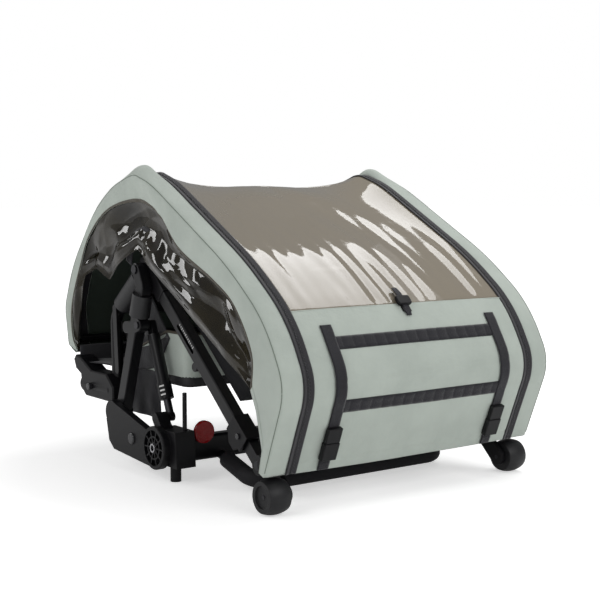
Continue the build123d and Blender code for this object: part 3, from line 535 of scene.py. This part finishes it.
def side_surface(shares, across, side, lift=0.0):
    """Points of the fabric side. across runs from 0 at the zip over 1 at the seam to 2 at the
    inner edge; lift is the height above the cloth's face, in millimetres."""
    share, across = np.broadcast_arrays(shares, across)
    outer, out = outline_at(share)
    inner_share = np.interp(share, outer_marks, inner_marks)
    edge = along(inner_edge, inner_share.ravel()).reshape(*share.shape, 2)
    gusset = np.clip(across, 0, 1)
    band = np.clip(across - 1, 0, 1)
    ends = np.minimum(1, np.minimum(share, 1 - share) * 18)
    travel = share * outline_length
    # The gusset swells between its seams and the band bulges sideways between seam and binding.
    swell = (2.2 * np.sin(np.pi * gusset) ** 0.8 * ends
             + 0.9 * folds(travel, gusset * 45, 11, 7, (60, 190)) * np.sin(np.pi * gusset)
             - 1.6 * np.exp(-((across - 1) / 0.07) ** 2))
    near_crest = np.exp(-((share - crest_share) / 0.06) ** 2)
    wide = np.linalg.norm(edge - outer, axis=-1)
    bulge = (np.minimum(4.0, wide * 0.06) * np.sin(np.pi * band) ** 0.7
             + 0.9 * folds(travel, band * wide, 5, 9, (45, 170)) * np.sin(np.pi * np.minimum(
                 band * 1.15, 1)) ** 0.5
             + (1.3 * near_crest * band
                * folds(travel * 1.6, band * 30, 21, 5, (30, 80), sharp=True)))
    # Over the crest the gusset arches on the hoop and falls to the zip and to the seam.
    dip = crest_dip(share)
    ridge = np.clip(np.abs(gusset - 0.36) / np.where(gusset < 0.36, 0.36, 0.64), 0, 1)
    swell = swell - dip * ridge ** 2 * np.where(gusset > 0.36, 1.25, 1.0)
    turn = np.clip((across - 0.88) / 0.24, 0, 1)
    turn = turn * turn * (3 - 2 * turn)
    out_x = COVER_X + 1.2 - drawn_in(share)
    flat_x = SHEET_X + ZIP_WIDTH + (out_x - SHEET_X - ZIP_WIDTH) * gusset
    x = np.where(across <= 1, flat_x, out_x + bulge)
    x = x + lift * turn
    place = outer + (edge - outer) * band[..., None]
    place = place + out * ((swell * (1 - band) ** 3 + lift * (1 - turn) - 1.2 * band)[..., None])
    return placed(x * side, place[..., 0], place[..., 1])


across_steps = np.concatenate([np.linspace(0, 0.9, GUSSET_COLUMNS), [0.96, 1.0, 1.04],
                               1 + np.linspace(0.08, 1, BAND_COLUMNS)])
for name, side in SIDES:
    points = side_surface(side_shares[:, None], across_steps[None, :], side)
    cover = grid_object(f"fabric_side_{name}", points, sage, flip=side < 0)
    with_painted_shade_inside(cover)
    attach(cover, "canopy")
    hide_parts(f"side_cover_{name}")
    # The seam's raised lip, in a darker sage that is painted shade along the seam.
    lip = side_surface(side_shares, np.full(SIDE_ROWS, 1.0), side, lift=0.3)
    seam = tube(f"side_seam_{name}", lip[2:-2], 0.0009, seam_painted_shade, sides=8)
    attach(seam, "canopy")
    # Taupe binding folded over the edge of the window opening, and the hem round the foot of the
    # side, beside the rail.
    for label, stretch, across, lift, look, thick in (
            ("window_binding", np.linspace(window_share, 1, 260), (1.90, 1.93, 1.97, 2.0), 0.9,
             binding, 0.0036),
            ("side_hem", np.linspace(0, window_share, 40), (1.88, 1.94, 2.0), 0.7, sage, 0.0034)):
        share = np.interp(stretch, inner_marks, outer_marks)
        strip = side_surface(share[:, None], np.array(across)[None, :], side, lift)
        trim = grid_object(f"{label}_{name}", strip, look, flip=side < 0)
        thicken(trim, thick, offset=-1)
        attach(trim, "canopy")


# ================= sheets between the zips =================

panel_share = share_at_height(PANEL_TOP)
front_share = share_at_station(WINDOW_FRONT)


def between_zips(name, low, high, rows, columns, look, lift_of):
    """A sheet from zip to zip, between two shares of the outline."""
    share = np.linspace(low, high, rows)[:, None]
    x = np.linspace(-SHEET_X, SHEET_X, columns)[None, :]
    points = canopy_point(share, x, lift_of(share, x))
    return grid_object(name, points, look)


def rear_lift(share, x):
    """The rear panel swells softly between its bindings and the webbing rows."""
    height = np.interp(share, SHARES, outline[:, 1])
    edge = np.cos(np.pi / 2 * x / SHEET_X)
    travel = share * outline_length
    crease = np.exp(-((height - 242 - 0.02 * x) / 5.0) ** 2)
    seam = np.exp(-((height - 93) / 2.2) ** 2)
    rows = sum(np.exp(-((height - middle) / 14) ** 2) for middle in (196, 306))
    return (edge ** 0.5 * (3.2 - 1.6 * rows) + 0.55 * folds(travel, x, 31, 10, (60, 260)) * edge
            - 1.5 * crease * np.clip(edge * 1.2, 0, 1) - 1.1 * seam)


rear_panel = between_zips("rear_panel_cloth", 0.0, panel_share, 130, 150, sage, rear_lift)
thicken(rear_panel, 0.002)
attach(rear_panel, "canopy")
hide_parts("rear_panel")


def front_lift(share, x):
    edge = np.cos(np.pi / 2 * x / SHEET_X)
    travel = share * outline_length
    return edge ** 0.5 * 2.0 + 1.5 * folds(travel, x, 41, 10, (70, 240)) * edge


front_panel = between_zips("front_panel_cloth", front_share, 1.0, 90, 90, sage, front_lift)
with_painted_shade_inside(front_panel)
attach(front_panel, "canopy")
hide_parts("front_panel")


def window_lift(share, x):
    """The film sags between the hoops, most at the crest, and is held up along the panel."""
    travel = (share - panel_share) / (front_share - panel_share)
    middle = (crest_share - panel_share) / (front_share - panel_share)
    hang = np.where(travel < middle, np.clip(travel / middle, 0, 1) ** 1.2,
                    np.clip((1 - travel) / (1 - middle), 0, 1) ** 1.1)
    across = 1 - (np.abs(x) / SHEET_X) ** 4.2
    run = share * outline_length
    # Long soft creases fan out from the crest's corners; short ones run up from the panel.
    fan = (1.9 * folds(run * 0.55 + np.abs(x) * 0.9, x * 0.25, 51, 6, (120, 280))
           + 1.0 * hang * folds(run * 0.5 + x * 0.8, x * 0.2, 53, 3, (150, 260), sharp=True))
    pleats = 1.5 * np.exp(-travel / 0.2) * folds(x, run * 0.1, 52, 7, (18, 60))
    calm = np.clip(travel * 30, 0, 1) * np.clip((1 - travel) * 30, 0, 1) * across ** 0.5
    return -crest_dip(share) - 30 * hang * across + (fan * (0.35 + 0.65 * hang) + pleats) * calm


film = between_zips("window_film", panel_share, front_share, 100, 84, window_film, window_lift)
thicken(film, 0.0006)
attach(film, "canopy")
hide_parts("top_window")

# Binding where the film meets the rear panel and the front panel.
for label, share in (("rear", panel_share), ("front", front_share)):
    x = np.linspace(-SHEET_X, SHEET_X, 80)
    line = canopy_point(share, x, 1.2 + (1.8 * np.cos(np.pi / 2 * x / SHEET_X) ** 0.5
                                         if label == "rear" else 0))
    join = tube(f"film_join_{label}", line, 0.0014, sage, sides=8)
    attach(join, "canopy")


# ================= zips =================

for name, side in SIDES:
    share = np.linspace(0, 1, 420)[:, None]
    profile = [(-12, 0.9), (-11.4, 2.5), (-9.4, 2.9), (-7.4, 2.0), (-2.6, 1.0), (2.6, 1.0),
               (7.4, 2.0), (9.4, 2.9), (11.4, 2.5), (12, 0.9)]
    across, rise = np.array(profile).T
    x = side * (across[None, :] + ZIP_X)
    lift = rise[None, :] - crest_dip(share)
    tape = grid_object(f"zip_tape_{name}", canopy_point(share, x, lift), zip_cloth,
                       flip=side < 0)
    thicken(tape, 0.0016, offset=-1)
    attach(tape, "canopy")
    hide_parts("zip_tapes")
    # The coil: one small loop after another, meshing from both halves of the tape.
    pitch, sides = 3.0, 6
    vertices, faces = [], []
    for k in range(int(outline_length / pitch)):
        middle = (k + 0.5) * pitch / outline_length
        shift = 0.9 if k % 2 else -0.9
        for end in (-2.3 + shift, 2.3 + shift):
            for corner in range(sides):
                angle = 2 * math.pi * corner / sides
                vertices.append(canopy_point(middle + 0.95 * math.cos(angle) / outline_length,
                                             side * ZIP_X + end,
                                             1.5 - crest_dip(middle) + 0.75 * math.sin(angle)))
        faces += drum_faces(2, sides, 2 * sides * k)
    coil = new_object(f"zip_coil_{name}", vertices, faces, zip_teeth)
    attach(coil, "canopy")


# ================= webbing on the rear panel =================

WEBBING_X = STRAP_X - WEBBING / 2 - 1
TACK_PITCH = 25.5
webbing_pieces = []


def tacked(distance, pitch):
    """How far webbing bows out between two bar tacks, from 0 at a tack to 1 halfway."""
    return np.abs(np.sin(np.pi * distance / pitch)) ** 0.6


def bar_tack(vertices, faces, centre, across, along_it, out, half, width, height):
    """A dense row of stitches: a low ridge with sloping sides, added to a mesh in progress."""
    base = len(vertices)
    for end in (-1, -0.9, 0.9, 1):
        tall = height if abs(end) < 1 else 0.1 * height
        for step, lift in ((-1, 0), (-0.5, 1), (0.5, 1), (1, 0)):
            vertices.append(np.array(centre) + along_it * end * half + across * step * width
                            + out * lift * tall)
    faces += grid_faces(4, 4, base=base)


tack_vertices, tack_faces = [], []
for low, high in ((184, 208), (295, 317)):
    bottom, top = share_at_height(low), share_at_height(high)
    share = np.linspace(bottom, top, 8)[:, None]
    x = np.linspace(-WEBBING_X - 8, WEBBING_X + 8, 330)[None, :]
    lip = np.minimum(1, np.abs(np.linspace(-1, 1, 8)[:, None] ** 2 - 1) * 6 + 0.4)
    lift = rear_lift(share, x) + (1.6 + 1.5 * tacked(x, TACK_PITCH)) * lip
    row = grid_object(f"webbing_row_{low}", canopy_point(share, x, lift), webbing)
    thicken(row, 0.0014, offset=0)
    webbing_pieces.append(row)
    middle = (bottom + top) / 2
    up = unit(canopy_point(top, 0.0) - canopy_point(bottom, 0.0))
    for k in range(-7, 8):
        place = k * TACK_PITCH
        base = canopy_point(middle, place, rear_lift(middle, place) + 2.3)
        out = unit(canopy_point(middle, place, 10.0) - canopy_point(middle, place, 0.0))
        bar_tack(tack_vertices, tack_faces, base, np.array((1.0, 0, 0)), up, out, 0.0112, 0.0011,
                 0.0006)
for name, side in SIDES:
    share = np.linspace(share_at_height(76), share_at_height(336), 170)[:, None]
    x = side * STRAP_X + np.linspace(-WEBBING / 2, WEBBING / 2, 8)[None, :]
    height = np.interp(share, SHARES, outline[:, 1])
    slack = 1.2 * np.sin(np.pi * np.clip((height - 165) / 160, 0, 1)) ** 2
    lift = rear_lift(share, x) + 3.4 + slack
    strap = grid_object(f"compression_strap_{name}", canopy_point(share, x, lift), webbing)
    thicken(strap, 0.0016, offset=0)
    webbing_pieces.append(strap)
tacks = new_object("bar_tacks", tack_vertices, tack_faces, webbing)
for piece in webbing_pieces + [tacks]:
    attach(piece, "canopy")
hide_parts("panel_webbing")


# ================= cord lock and strap at the middle of the rear panel's top edge =================

def lock_piece(name, half_width, low, high, thick, lift, material, bow=0.0):
    """A small rounded pad on the outline's middle, between two heights."""
    t = np.linspace(0, 1, 12)[:, None]
    ends = share_at_height(low), share_at_height(high)
    share = ends[0] + (ends[1] - ends[0]) * t
    x = half_width * np.linspace(-1, 1, 13)[None, :] * (1 - 0.16 * (2 * t - 1) ** 4)
    rise = rear_lift(share, x) + lift + bow * np.sin(np.pi * t)
    made = grid_object(name, canopy_point(share, x, rise), material)
    soften(thicken(made, thick, offset=0), 2)
    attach(made, "canopy")
    return made


lock_strap = lock_piece("window_lock_strap", 7.0, PANEL_TOP - 22, PANEL_TOP + 26, 0.0018, 3.2,
                        webbing, bow=3.0)
lock_piece("window_lock_body", 17.0, PANEL_TOP - 5, PANEL_TOP + 9, 0.008, 7.0, moulded)


# ================= side windows =================

film_top = smooth_through(WINDOW_EDGE)
film_low = np.array([WINDOW_EDGE[0]] + WINDOW_LOW[::-1], float)
SIDE_FILM_ROWS, SIDE_FILM_COLUMNS = 210, 44
# The film keeps within a reach of a middle plane, in millimetres of x.
FILM_X, FILM_REACH = 322, 15
# Points of the upper edge, and the shares of the lower edge that hang below them.
HANGING = (((22, 226), 0), ((72, 369), 0.22), ((262, 464), 0.42), ((428, 559), 0.50),
           ((558, 542), 0.62), ((716, 420), 0.80), ((768, 262), 0.93), ((748, 225), 1))
marks_top = [share_near(film_top, point) for point, _ in HANGING]
marks_low = [share for _, share in HANGING]
for name, side in SIDES:
    share = np.linspace(0, 1, SIDE_FILM_ROWS)
    upper = along(film_top, share)
    below = along(film_low, np.interp(share, marks_top, marks_low))
    fall = np.linspace(0, 1, SIDE_FILM_COLUMNS)
    flat = upper[:, None] + (below - upper)[:, None] * fall[None, :, None]
    travel = share[:, None] * lengths(film_top)[-1]
    reach = np.linalg.norm(below - upper, axis=1)[:, None] * fall[None, :]
    held = np.sin(np.pi * np.clip(fall * 0.94 + 0.03, 0, 1))[None, :] ** 0.5
    ends = np.clip(np.minimum(share, 1 - share) * 14, 0, 1)[:, None]
    left_over = np.linalg.norm(below - upper, axis=1)[:, None] - reach
    crumple = (7.5 * facets(travel + 0.8 * reach, reach * 0.5, 61, 2, (130, 240))
               + 5.0 * facets(0.5 * travel - 0.5 * reach, reach, 62, 3, (90, 170))
               + 1.2 * facets(0.5 * travel + 0.3 * reach, reach, 64, 3, (45, 80))
               + 2.5 * folds(travel, reach, 63, 5, (90, 180))
               + 8.0 * np.exp(-((left_over - 26) / 13) ** 2))
    # Its lower part stands out from the frame and catches the light.
    curl = (10 * np.clip((fall[None, :] - 0.45) / 0.4, 0, 1)
            * np.clip((0.5 - share) / 0.1, 0, 1)[:, None])
    taper = drawn_in(np.interp(share * (1 - window_share) + window_share, inner_marks,
                               outer_marks))[:, None]
    x = COVER_X - 9 * held + curl * held + crumple * held * ends
    x = FILM_X + FILM_REACH * np.tanh((x - FILM_X) / FILM_REACH) - 0.8 * taper
    pane = grid_object(f"side_film_painted_shade_{name}", placed(x * side, flat[..., 0], flat[..., 1]),
                       side_film_painted_shade, flip=side > 0)
    soften(thicken(pane, 0.0006), 1)
    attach(pane, "canopy")
    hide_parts(f"side_window_{name}")


# ================= strap inside each side window =================

STRAP_LINE = [(504, 432), (484, 474), (440, 496), (400, 488), (265, 442), (170, 402), (118, 376)]
WINDOW_STRAP_X = 312
strap_line = smooth_through(STRAP_LINE, 120)
for name, side in SIDES:
    out = outward(strap_line)
    wide = np.linspace(-WEBBING / 2, WEBBING / 2, 6)
    flat = strap_line[:, None] + out[:, None] * wide[None, :, None]
    x = side * (WINDOW_STRAP_X + 2.5 * np.sin(lengths(strap_line) / 45)[:, None])
    strap = grid_object(f"window_strap_{name}", placed(x, flat[..., 0], flat[..., 1]), webbing,
                        flip=side > 0)
    thicken(strap, 0.002)
    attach(strap, "canopy")


# ================= floor tub and footwell =================

def rounded_rectangle(half_x, half_y, radius, count=10):
    """Corner points of a rounded rectangle about the origin, anticlockwise."""
    ring = []
    for quarter, (sx, sy) in enumerate(((1, 1), (-1, 1), (-1, -1), (1, -1))):
        for t in np.linspace(0, math.pi / 2, count):
            angle = quarter * math.pi / 2 + t
            ring.append((sx * (half_x - radius) + radius * math.cos(angle),
                         sy * (half_y - radius) + radius * math.sin(angle)))
    return np.array(ring)


def dense_ring(ring, step):
    """The ring again with more points on its straight runs."""
    closed = np.vstack([ring, ring[:1]])
    count = int(lengths(closed)[-1] / step)
    return along(closed, np.linspace(0, 1, count, endpoint=False))


tub_half_y = (TUB_FRONT - TUB_BACK) / 2
tub_middle = (TUB_FRONT + TUB_BACK) / 2
ring = dense_ring(rounded_rectangle(TUB_X - 1, tub_half_y - 1, 22), 8)


def tub_top(station):
    """Height of the tub's rim: full at the back, falling towards the front."""
    return np.interp(station, (TUB_BACK, TUB_BACK + 80, TUB_FRONT),
                     (TUB_HIGH, TUB_HIGH, TUB_HIGH - 50))


walls = []
for t in np.linspace(0, 1, 14):
    station = ring[:, 1] + tub_middle
    top = tub_top(station)
    z = TUB_LOW + 16 + (top - TUB_LOW - 16) * t
    walk = lengths(ring)
    puff = 1 - 0.010 * math.sin(math.pi * t)
    wobble = (1.6 * folds(walk, np.full_like(walk, t * 90), 71, 6, (50, 150))
              * math.sin(math.pi * t))
    bent = puff * ring + outward(ring) * -wobble[:, None]
    walls.append(placed(bent[:, 0], bent[:, 1] + tub_middle, z))
tub_wall = grid_object("tub_wall", np.array(walls), sage, close_columns=True)
thicken(tub_wall, 0.004, offset=-1)
tub_rim = tube("tub_rim", np.vstack([walls[-1], walls[-1][:1]]), 0.003, binding, sides=8)
base_ring = dense_ring(rounded_rectangle(TUB_X, tub_half_y, 22), 8)
tray = []
for inset, z in ((-14, 0), (-4, 0.4), (-1, 3), (0, 8), (0, 18), (-2.5, 22), (-6, 22), (-7, 12),
                 (-12, 8)):
    step = base_ring + outward(base_ring) * -inset
    tray.append(placed(step[:, 0], step[:, 1] + tub_middle, TUB_LOW + z))
tub_tray = new_object("tub_tray", np.vstack(tray), drum_faces(len(tray), len(tray[0])), tub_base)
for piece in (tub_wall, tub_rim, tub_tray):
    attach(piece, "chassis")
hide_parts("floor_tub")

# Black footwell fabric: it runs forward from the tub to the hem of the front panel, and its
# wings close the gap beside the seat.
FOOTWELL_X, FOOTWELL_FLARE, FOOTWELL_FRONT = 262, 48, 742
t = np.linspace(0, 1, 60)[:, None]
x = np.linspace(-1, 1, 70)[None, :] * (FOOTWELL_X
                                       + FOOTWELL_FLARE * np.clip((t - 0.25) / 0.45, 0, 1))
station = TUB_FRONT - 4 + (FOOTWELL_FRONT - TUB_FRONT + 4) * np.minimum(t / 0.85, 1)
rise = np.clip((t - 0.85) / 0.15, 0, 1)
height = TUB_LOW + 10 + 10 * t + 34 * rise
sag = 9 * np.sin(np.pi * np.clip(t, 0, 0.85) / 0.85) * np.cos(np.pi / 2 * x / FOOTWELL_X)
height = height - sag + 1.2 * folds(station, x, 91, 7, (60, 180))
footwell = grid_object("footwell", placed(x, station, height), seat_cloth)
thicken(footwell, 0.002)
wings = []
WING_X = 266.5
WING = [(TUB_BACK + 70, TUB_HIGH - 14), (470, 340), (500, 372), (560, 330), (600, 270),
        (604, 200), (TUB_FRONT, TUB_LOW + 12), (TUB_BACK + 120, TUB_LOW + 30)]
middle = np.mean(np.array(WING, float), axis=0)
edge = along(np.vstack([WING, WING[:1]]).astype(float), np.linspace(0, 1, 90))
spread = np.linspace(1, 0.02, 16)[:, None, None]
flat = middle + (edge - middle)[None] * spread
sway = 1.8 * folds(flat[..., 0], flat[..., 1], 95, 6, (50, 130))
for name, side in SIDES:
    points = placed(side * (WING_X + sway * (1 - spread[..., 0] ** 6)),
                    flat[..., 0], flat[..., 1])
    wing = grid_object(f"footwell_wing_{name}", points, seat_cloth, flip=side < 0)
    thicken(wing, 0.002)
    wings.append(wing)
# Black guard that hangs between the leg and the strut, below the tub.
GUARD_TOP, GUARD_LOW, GUARD_BACK, GUARD_FRONT, GUARD_X = TUB_LOW + 20, 102, 450, 602, 270.5
guards = []
t = np.linspace(0, 1, 30)[:, None]
u = np.linspace(0, 1, 36)[None, :]
front = GUARD_FRONT - 46 * np.clip(t - 0.55, 0, 1) ** 1.5
station = GUARD_BACK + (front - GUARD_BACK) * u
height = GUARD_TOP + (GUARD_LOW - GUARD_TOP) * t + 3 * np.sin(np.pi * u) * t
sway = 1.4 * folds(station, height, 97, 6, (50, 120)) * t
for name, side in SIDES:
    guard = grid_object(f"side_guard_{name}", placed(side * (GUARD_X + sway), station, height),
                        webbing, flip=side > 0)
    thicken(guard, 0.002)
    guards.append(guard)
for piece in [footwell, *wings, *guards]:
    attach(piece, "chassis")


# ================= seat =================

SEAT_X = 261


def cushion(name, start, end, thick, seams):
    """A padded board between two side-view points, stitched down along lines across it."""
    long = math.dist(start, end)
    run = unit(np.subtract(end, start))
    rise = np.array([-run[1], run[0]])
    columns, rows = 60, 44
    skins = []
    u = np.linspace(0, 1, rows)[:, None]
    v = np.linspace(-1, 1, columns)[None, :]
    margin = (np.clip(1 - np.abs(2 * u - 1) ** 14, 0, 1)
              * np.clip(1 - np.abs(v) ** 22, 0, 1)) ** 0.45
    dip = sum(np.exp(-((v - seam) * SEAT_X / 7) ** 2) for seam in seams)
    for face in (1, -1):
        wrinkle = 0.5 * folds(u * long, v * SEAT_X, 81 + face, 8, (40, 160)) * margin
        height = thick / 2 * margin * (1 - 0.32 * dip) + wrinkle
        place = (np.array(start)[None, None] + run * (u * long)[..., None]
                 + rise * (face * height)[..., None])
        skins.append(placed(v * SEAT_X, place[..., 0], place[..., 1]))
    size = rows * columns
    faces = grid_faces(rows, columns)
    faces += [face[::-1] for face in grid_faces(rows, columns, base=size)]
    border = (list(range(columns)) + [i * columns + columns - 1 for i in range(1, rows)]
              + [(rows - 1) * columns + j for j in range(columns - 2, -1, -1)]
              + [i * columns for i in range(rows - 2, 0, -1)])
    for a, b in zip(border, border[1:] + border[:1]):
        faces.append((b, a, size + a, size + b))
    made = new_object(name, np.array(skins).reshape(-1, 3), faces, seat_cloth)
    inflate(made, border + [size + k for k in border])
    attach(made, "chassis")
    return made


seat_back = cushion("seat_back_pad", along_rail(151, 4), along_rail(499, 4), 19, (-0.5, 0, 0.5))
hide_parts("seat_back")
seat_base = cushion("seat_base_pad", (487, 387), (571, 321), 17, (0,))
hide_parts("seat_base")
for k, x in enumerate((-192, -68, 68, 192)):
    s = np.linspace(230, 470, 60)[:, None]
    wide = np.linspace(-WEBBING / 2, WEBBING / 2, 6)[None, :]
    station, height = along_rail(s, 16 + 1.2 * np.sin(s / 31 + k))
    strap = grid_object(f"harness_strap_{k}", placed(x + wide, station, height), webbing)
    thicken(strap, 0.0018)
    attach(strap, "chassis")
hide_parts("harness_straps")


# ================= small rigid details =================

# White scale marks beside the slot of each rail.
MARK_START, MARK_PITCH, MARK_OFFSET = 294, 5.8, 8.2
for name, side in SIDES:
    vertices, faces = [], []
    face_x = side * (RAIL_X + RAIL_THICK / 2 + 0.25)
    for k in range(12):
        s = MARK_START + k * MARK_PITCH
        half = 1.8 if k % 3 else 2.8
        base = len(vertices)
        for ds, dn in ((-0.8, -half), (0.8, -half), (0.8, half), (-0.8, half)):
            vertices.append(placed(face_x, *along_rail(s + ds, MARK_OFFSET + dn)))
        faces.append((base, base + 1, base + 2, base + 3)[::side])
    marks = new_object(f"rail_marks_{name}", vertices, faces, mark_paint, smooth=False)
    thicken(marks, 0.0002)
    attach(marks, "chassis")

# Three raised pale ribs round the rear outer side of each suspension strut's collar.
STRUT_TOP, STRUT_FOOT, COLLAR_MIDDLE, COLLAR_R = (446, 306), (371, 124), 143, 15
RIB_R = COLLAR_R + 0.1
fall = unit(np.subtract(STRUT_FOOT, STRUT_TOP))
rearward = np.array((fall[1], -fall[0]))
for name, side in SIDES:
    collar_x = abs(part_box(f"strut_tube_{name}")[0 if side < 0 else 1][0]) / MM - COLLAR_R
    vertices, faces = [], []
    for k in (-1, 0, 1):
        turns = np.radians(np.linspace(18, 58, 6))
        base = len(vertices)
        for turn in turns:
            for along_strut in (-1.6, 1.6):
                place = (np.array(STRUT_TOP) + fall * (COLLAR_MIDDLE + 9 * k + along_strut)
                         + rearward * RIB_R * math.sin(turn))
                vertices.append(placed(side * (collar_x + RIB_R * math.cos(turn)), *place))
        for i in range(len(turns) - 1):
            corner = base + 2 * i
            faces.append((corner, corner + 1, corner + 3, corner + 2)[::side])
    ribs = new_object(f"strut_ribs_{name}", vertices, faces, mark_paint, smooth=False)
    thicken(ribs, 0.001, offset=0)
    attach(ribs, f"strut_tube_{name}")


# ================= floor, light and camera =================

FLOOR_REACH = 60
floor_look = shader("floor", (0.9, 0.9, 0.9), 0.9, Emission_Color=(1, 1, 1, 1),
                    Specular_IOR_Level=0.1)
# The floor brightens with distance, so that it ends in the white of the backdrop.
distance = add(floor_look, "ShaderNodeVectorMath", operation="LENGTH")
link(floor_look, coordinates(floor_look), distance.inputs[0])
glow = add(floor_look, "ShaderNodeMapRange", From_Min=0.55, From_Max=2.4, To_Min=0.52,
           To_Max=0.99)
link(floor_look, distance.outputs["Value"], glow.inputs["Value"])
# Only a part of that glow lights the trailer, as from a dim studio round a bright backdrop.
ray = add(floor_look, "ShaderNodeLightPath")
share_seen = add(floor_look, "ShaderNodeMapRange", To_Min=0.22, To_Max=1.0)
link(floor_look, ray.outputs["Is Camera Ray"], share_seen.inputs["Value"])
strength = add(floor_look, "ShaderNodeMath", operation="MULTIPLY")
link(floor_look, glow.outputs["Result"], strength.inputs[0])
link(floor_look, share_seen.outputs["Result"], strength.inputs[1])
link(floor_look, strength.outputs[0], into(floor_look, "Emission Strength"))
corners = [(-FLOOR_REACH, -FLOOR_REACH, 0), (FLOOR_REACH, -FLOOR_REACH, 0),
           (FLOOR_REACH, FLOOR_REACH, 0), (-FLOOR_REACH, FLOOR_REACH, 0)]
floor_mesh = new_object("floor", corners, [(0, 1, 2, 3)], floor_look, smooth=False)

# The camera sees a white backdrop; the trailer is lit by a dimmer one.
world = bpy.data.worlds.new("studio")
bpy.context.scene.world = world
world.use_nodes = True
backdrop = world.node_tree.nodes["Background"]
backdrop.inputs["Color"].default_value = (1, 1, 1, 1)
backdrop.inputs["Strength"].default_value = 1.0
ambient = add(world, "ShaderNodeBackground", Color=(1, 1, 1, 1), Strength=0.26)
chooser = add(world, "ShaderNodeMixShader")
path = add(world, "ShaderNodeLightPath")
link(world, path.outputs["Is Camera Ray"], chooser.inputs["Fac"])
link(world, ambient.outputs[0], chooser.inputs[1])
link(world, backdrop.outputs[0], chooser.inputs[2])
link(world, chooser.outputs[0], world.node_tree.nodes["World Output"].inputs["Surface"])


def softbox(name, place, aim, width, height, power):
    """A rectangular studio light at a place, turned towards its aim."""
    data = bpy.data.lights.new(name, "AREA")
    data.shape = "RECTANGLE"
    data.size, data.size_y, data.energy = width, height, power
    made = put(name, data)
    made.location = place
    made.rotation_euler = (Vector(aim) - Vector(place)).to_track_quat("-Z", "Y").to_euler()


softbox("overhead", (1.16, 0.0, 2.4), (1.16, 0.0, 0), 1.38, 2.2, 30)
softbox("rear_fill", (0.5, -3.0, 1.9), (0, 0, 0.3), 2.2, 1.8, 32)
softbox("left_fill", (-3.0, -0.6, 1.9), (0, 0, 0.3), 1.6, 1.4, 22)
softbox("left_strip", (-2.1, 2.4, 1.35), (-0.3, 0, 0.4), 0.6, 1.3, 16)

camera_data = bpy.data.cameras.new("camera")
camera_data.lens = 73.2
camera_data.sensor_width = 36
camera = put("camera", camera_data)
camera.location = (-1.5342, -2.1337, 0.5658)
camera.rotation_euler = (math.radians(90 - 4.75), 0, math.radians(-36.3))
bpy.context.scene.camera = camera
bpy.context.scene.view_settings.view_transform = "Standard"

bpy.context.view_layer.update()
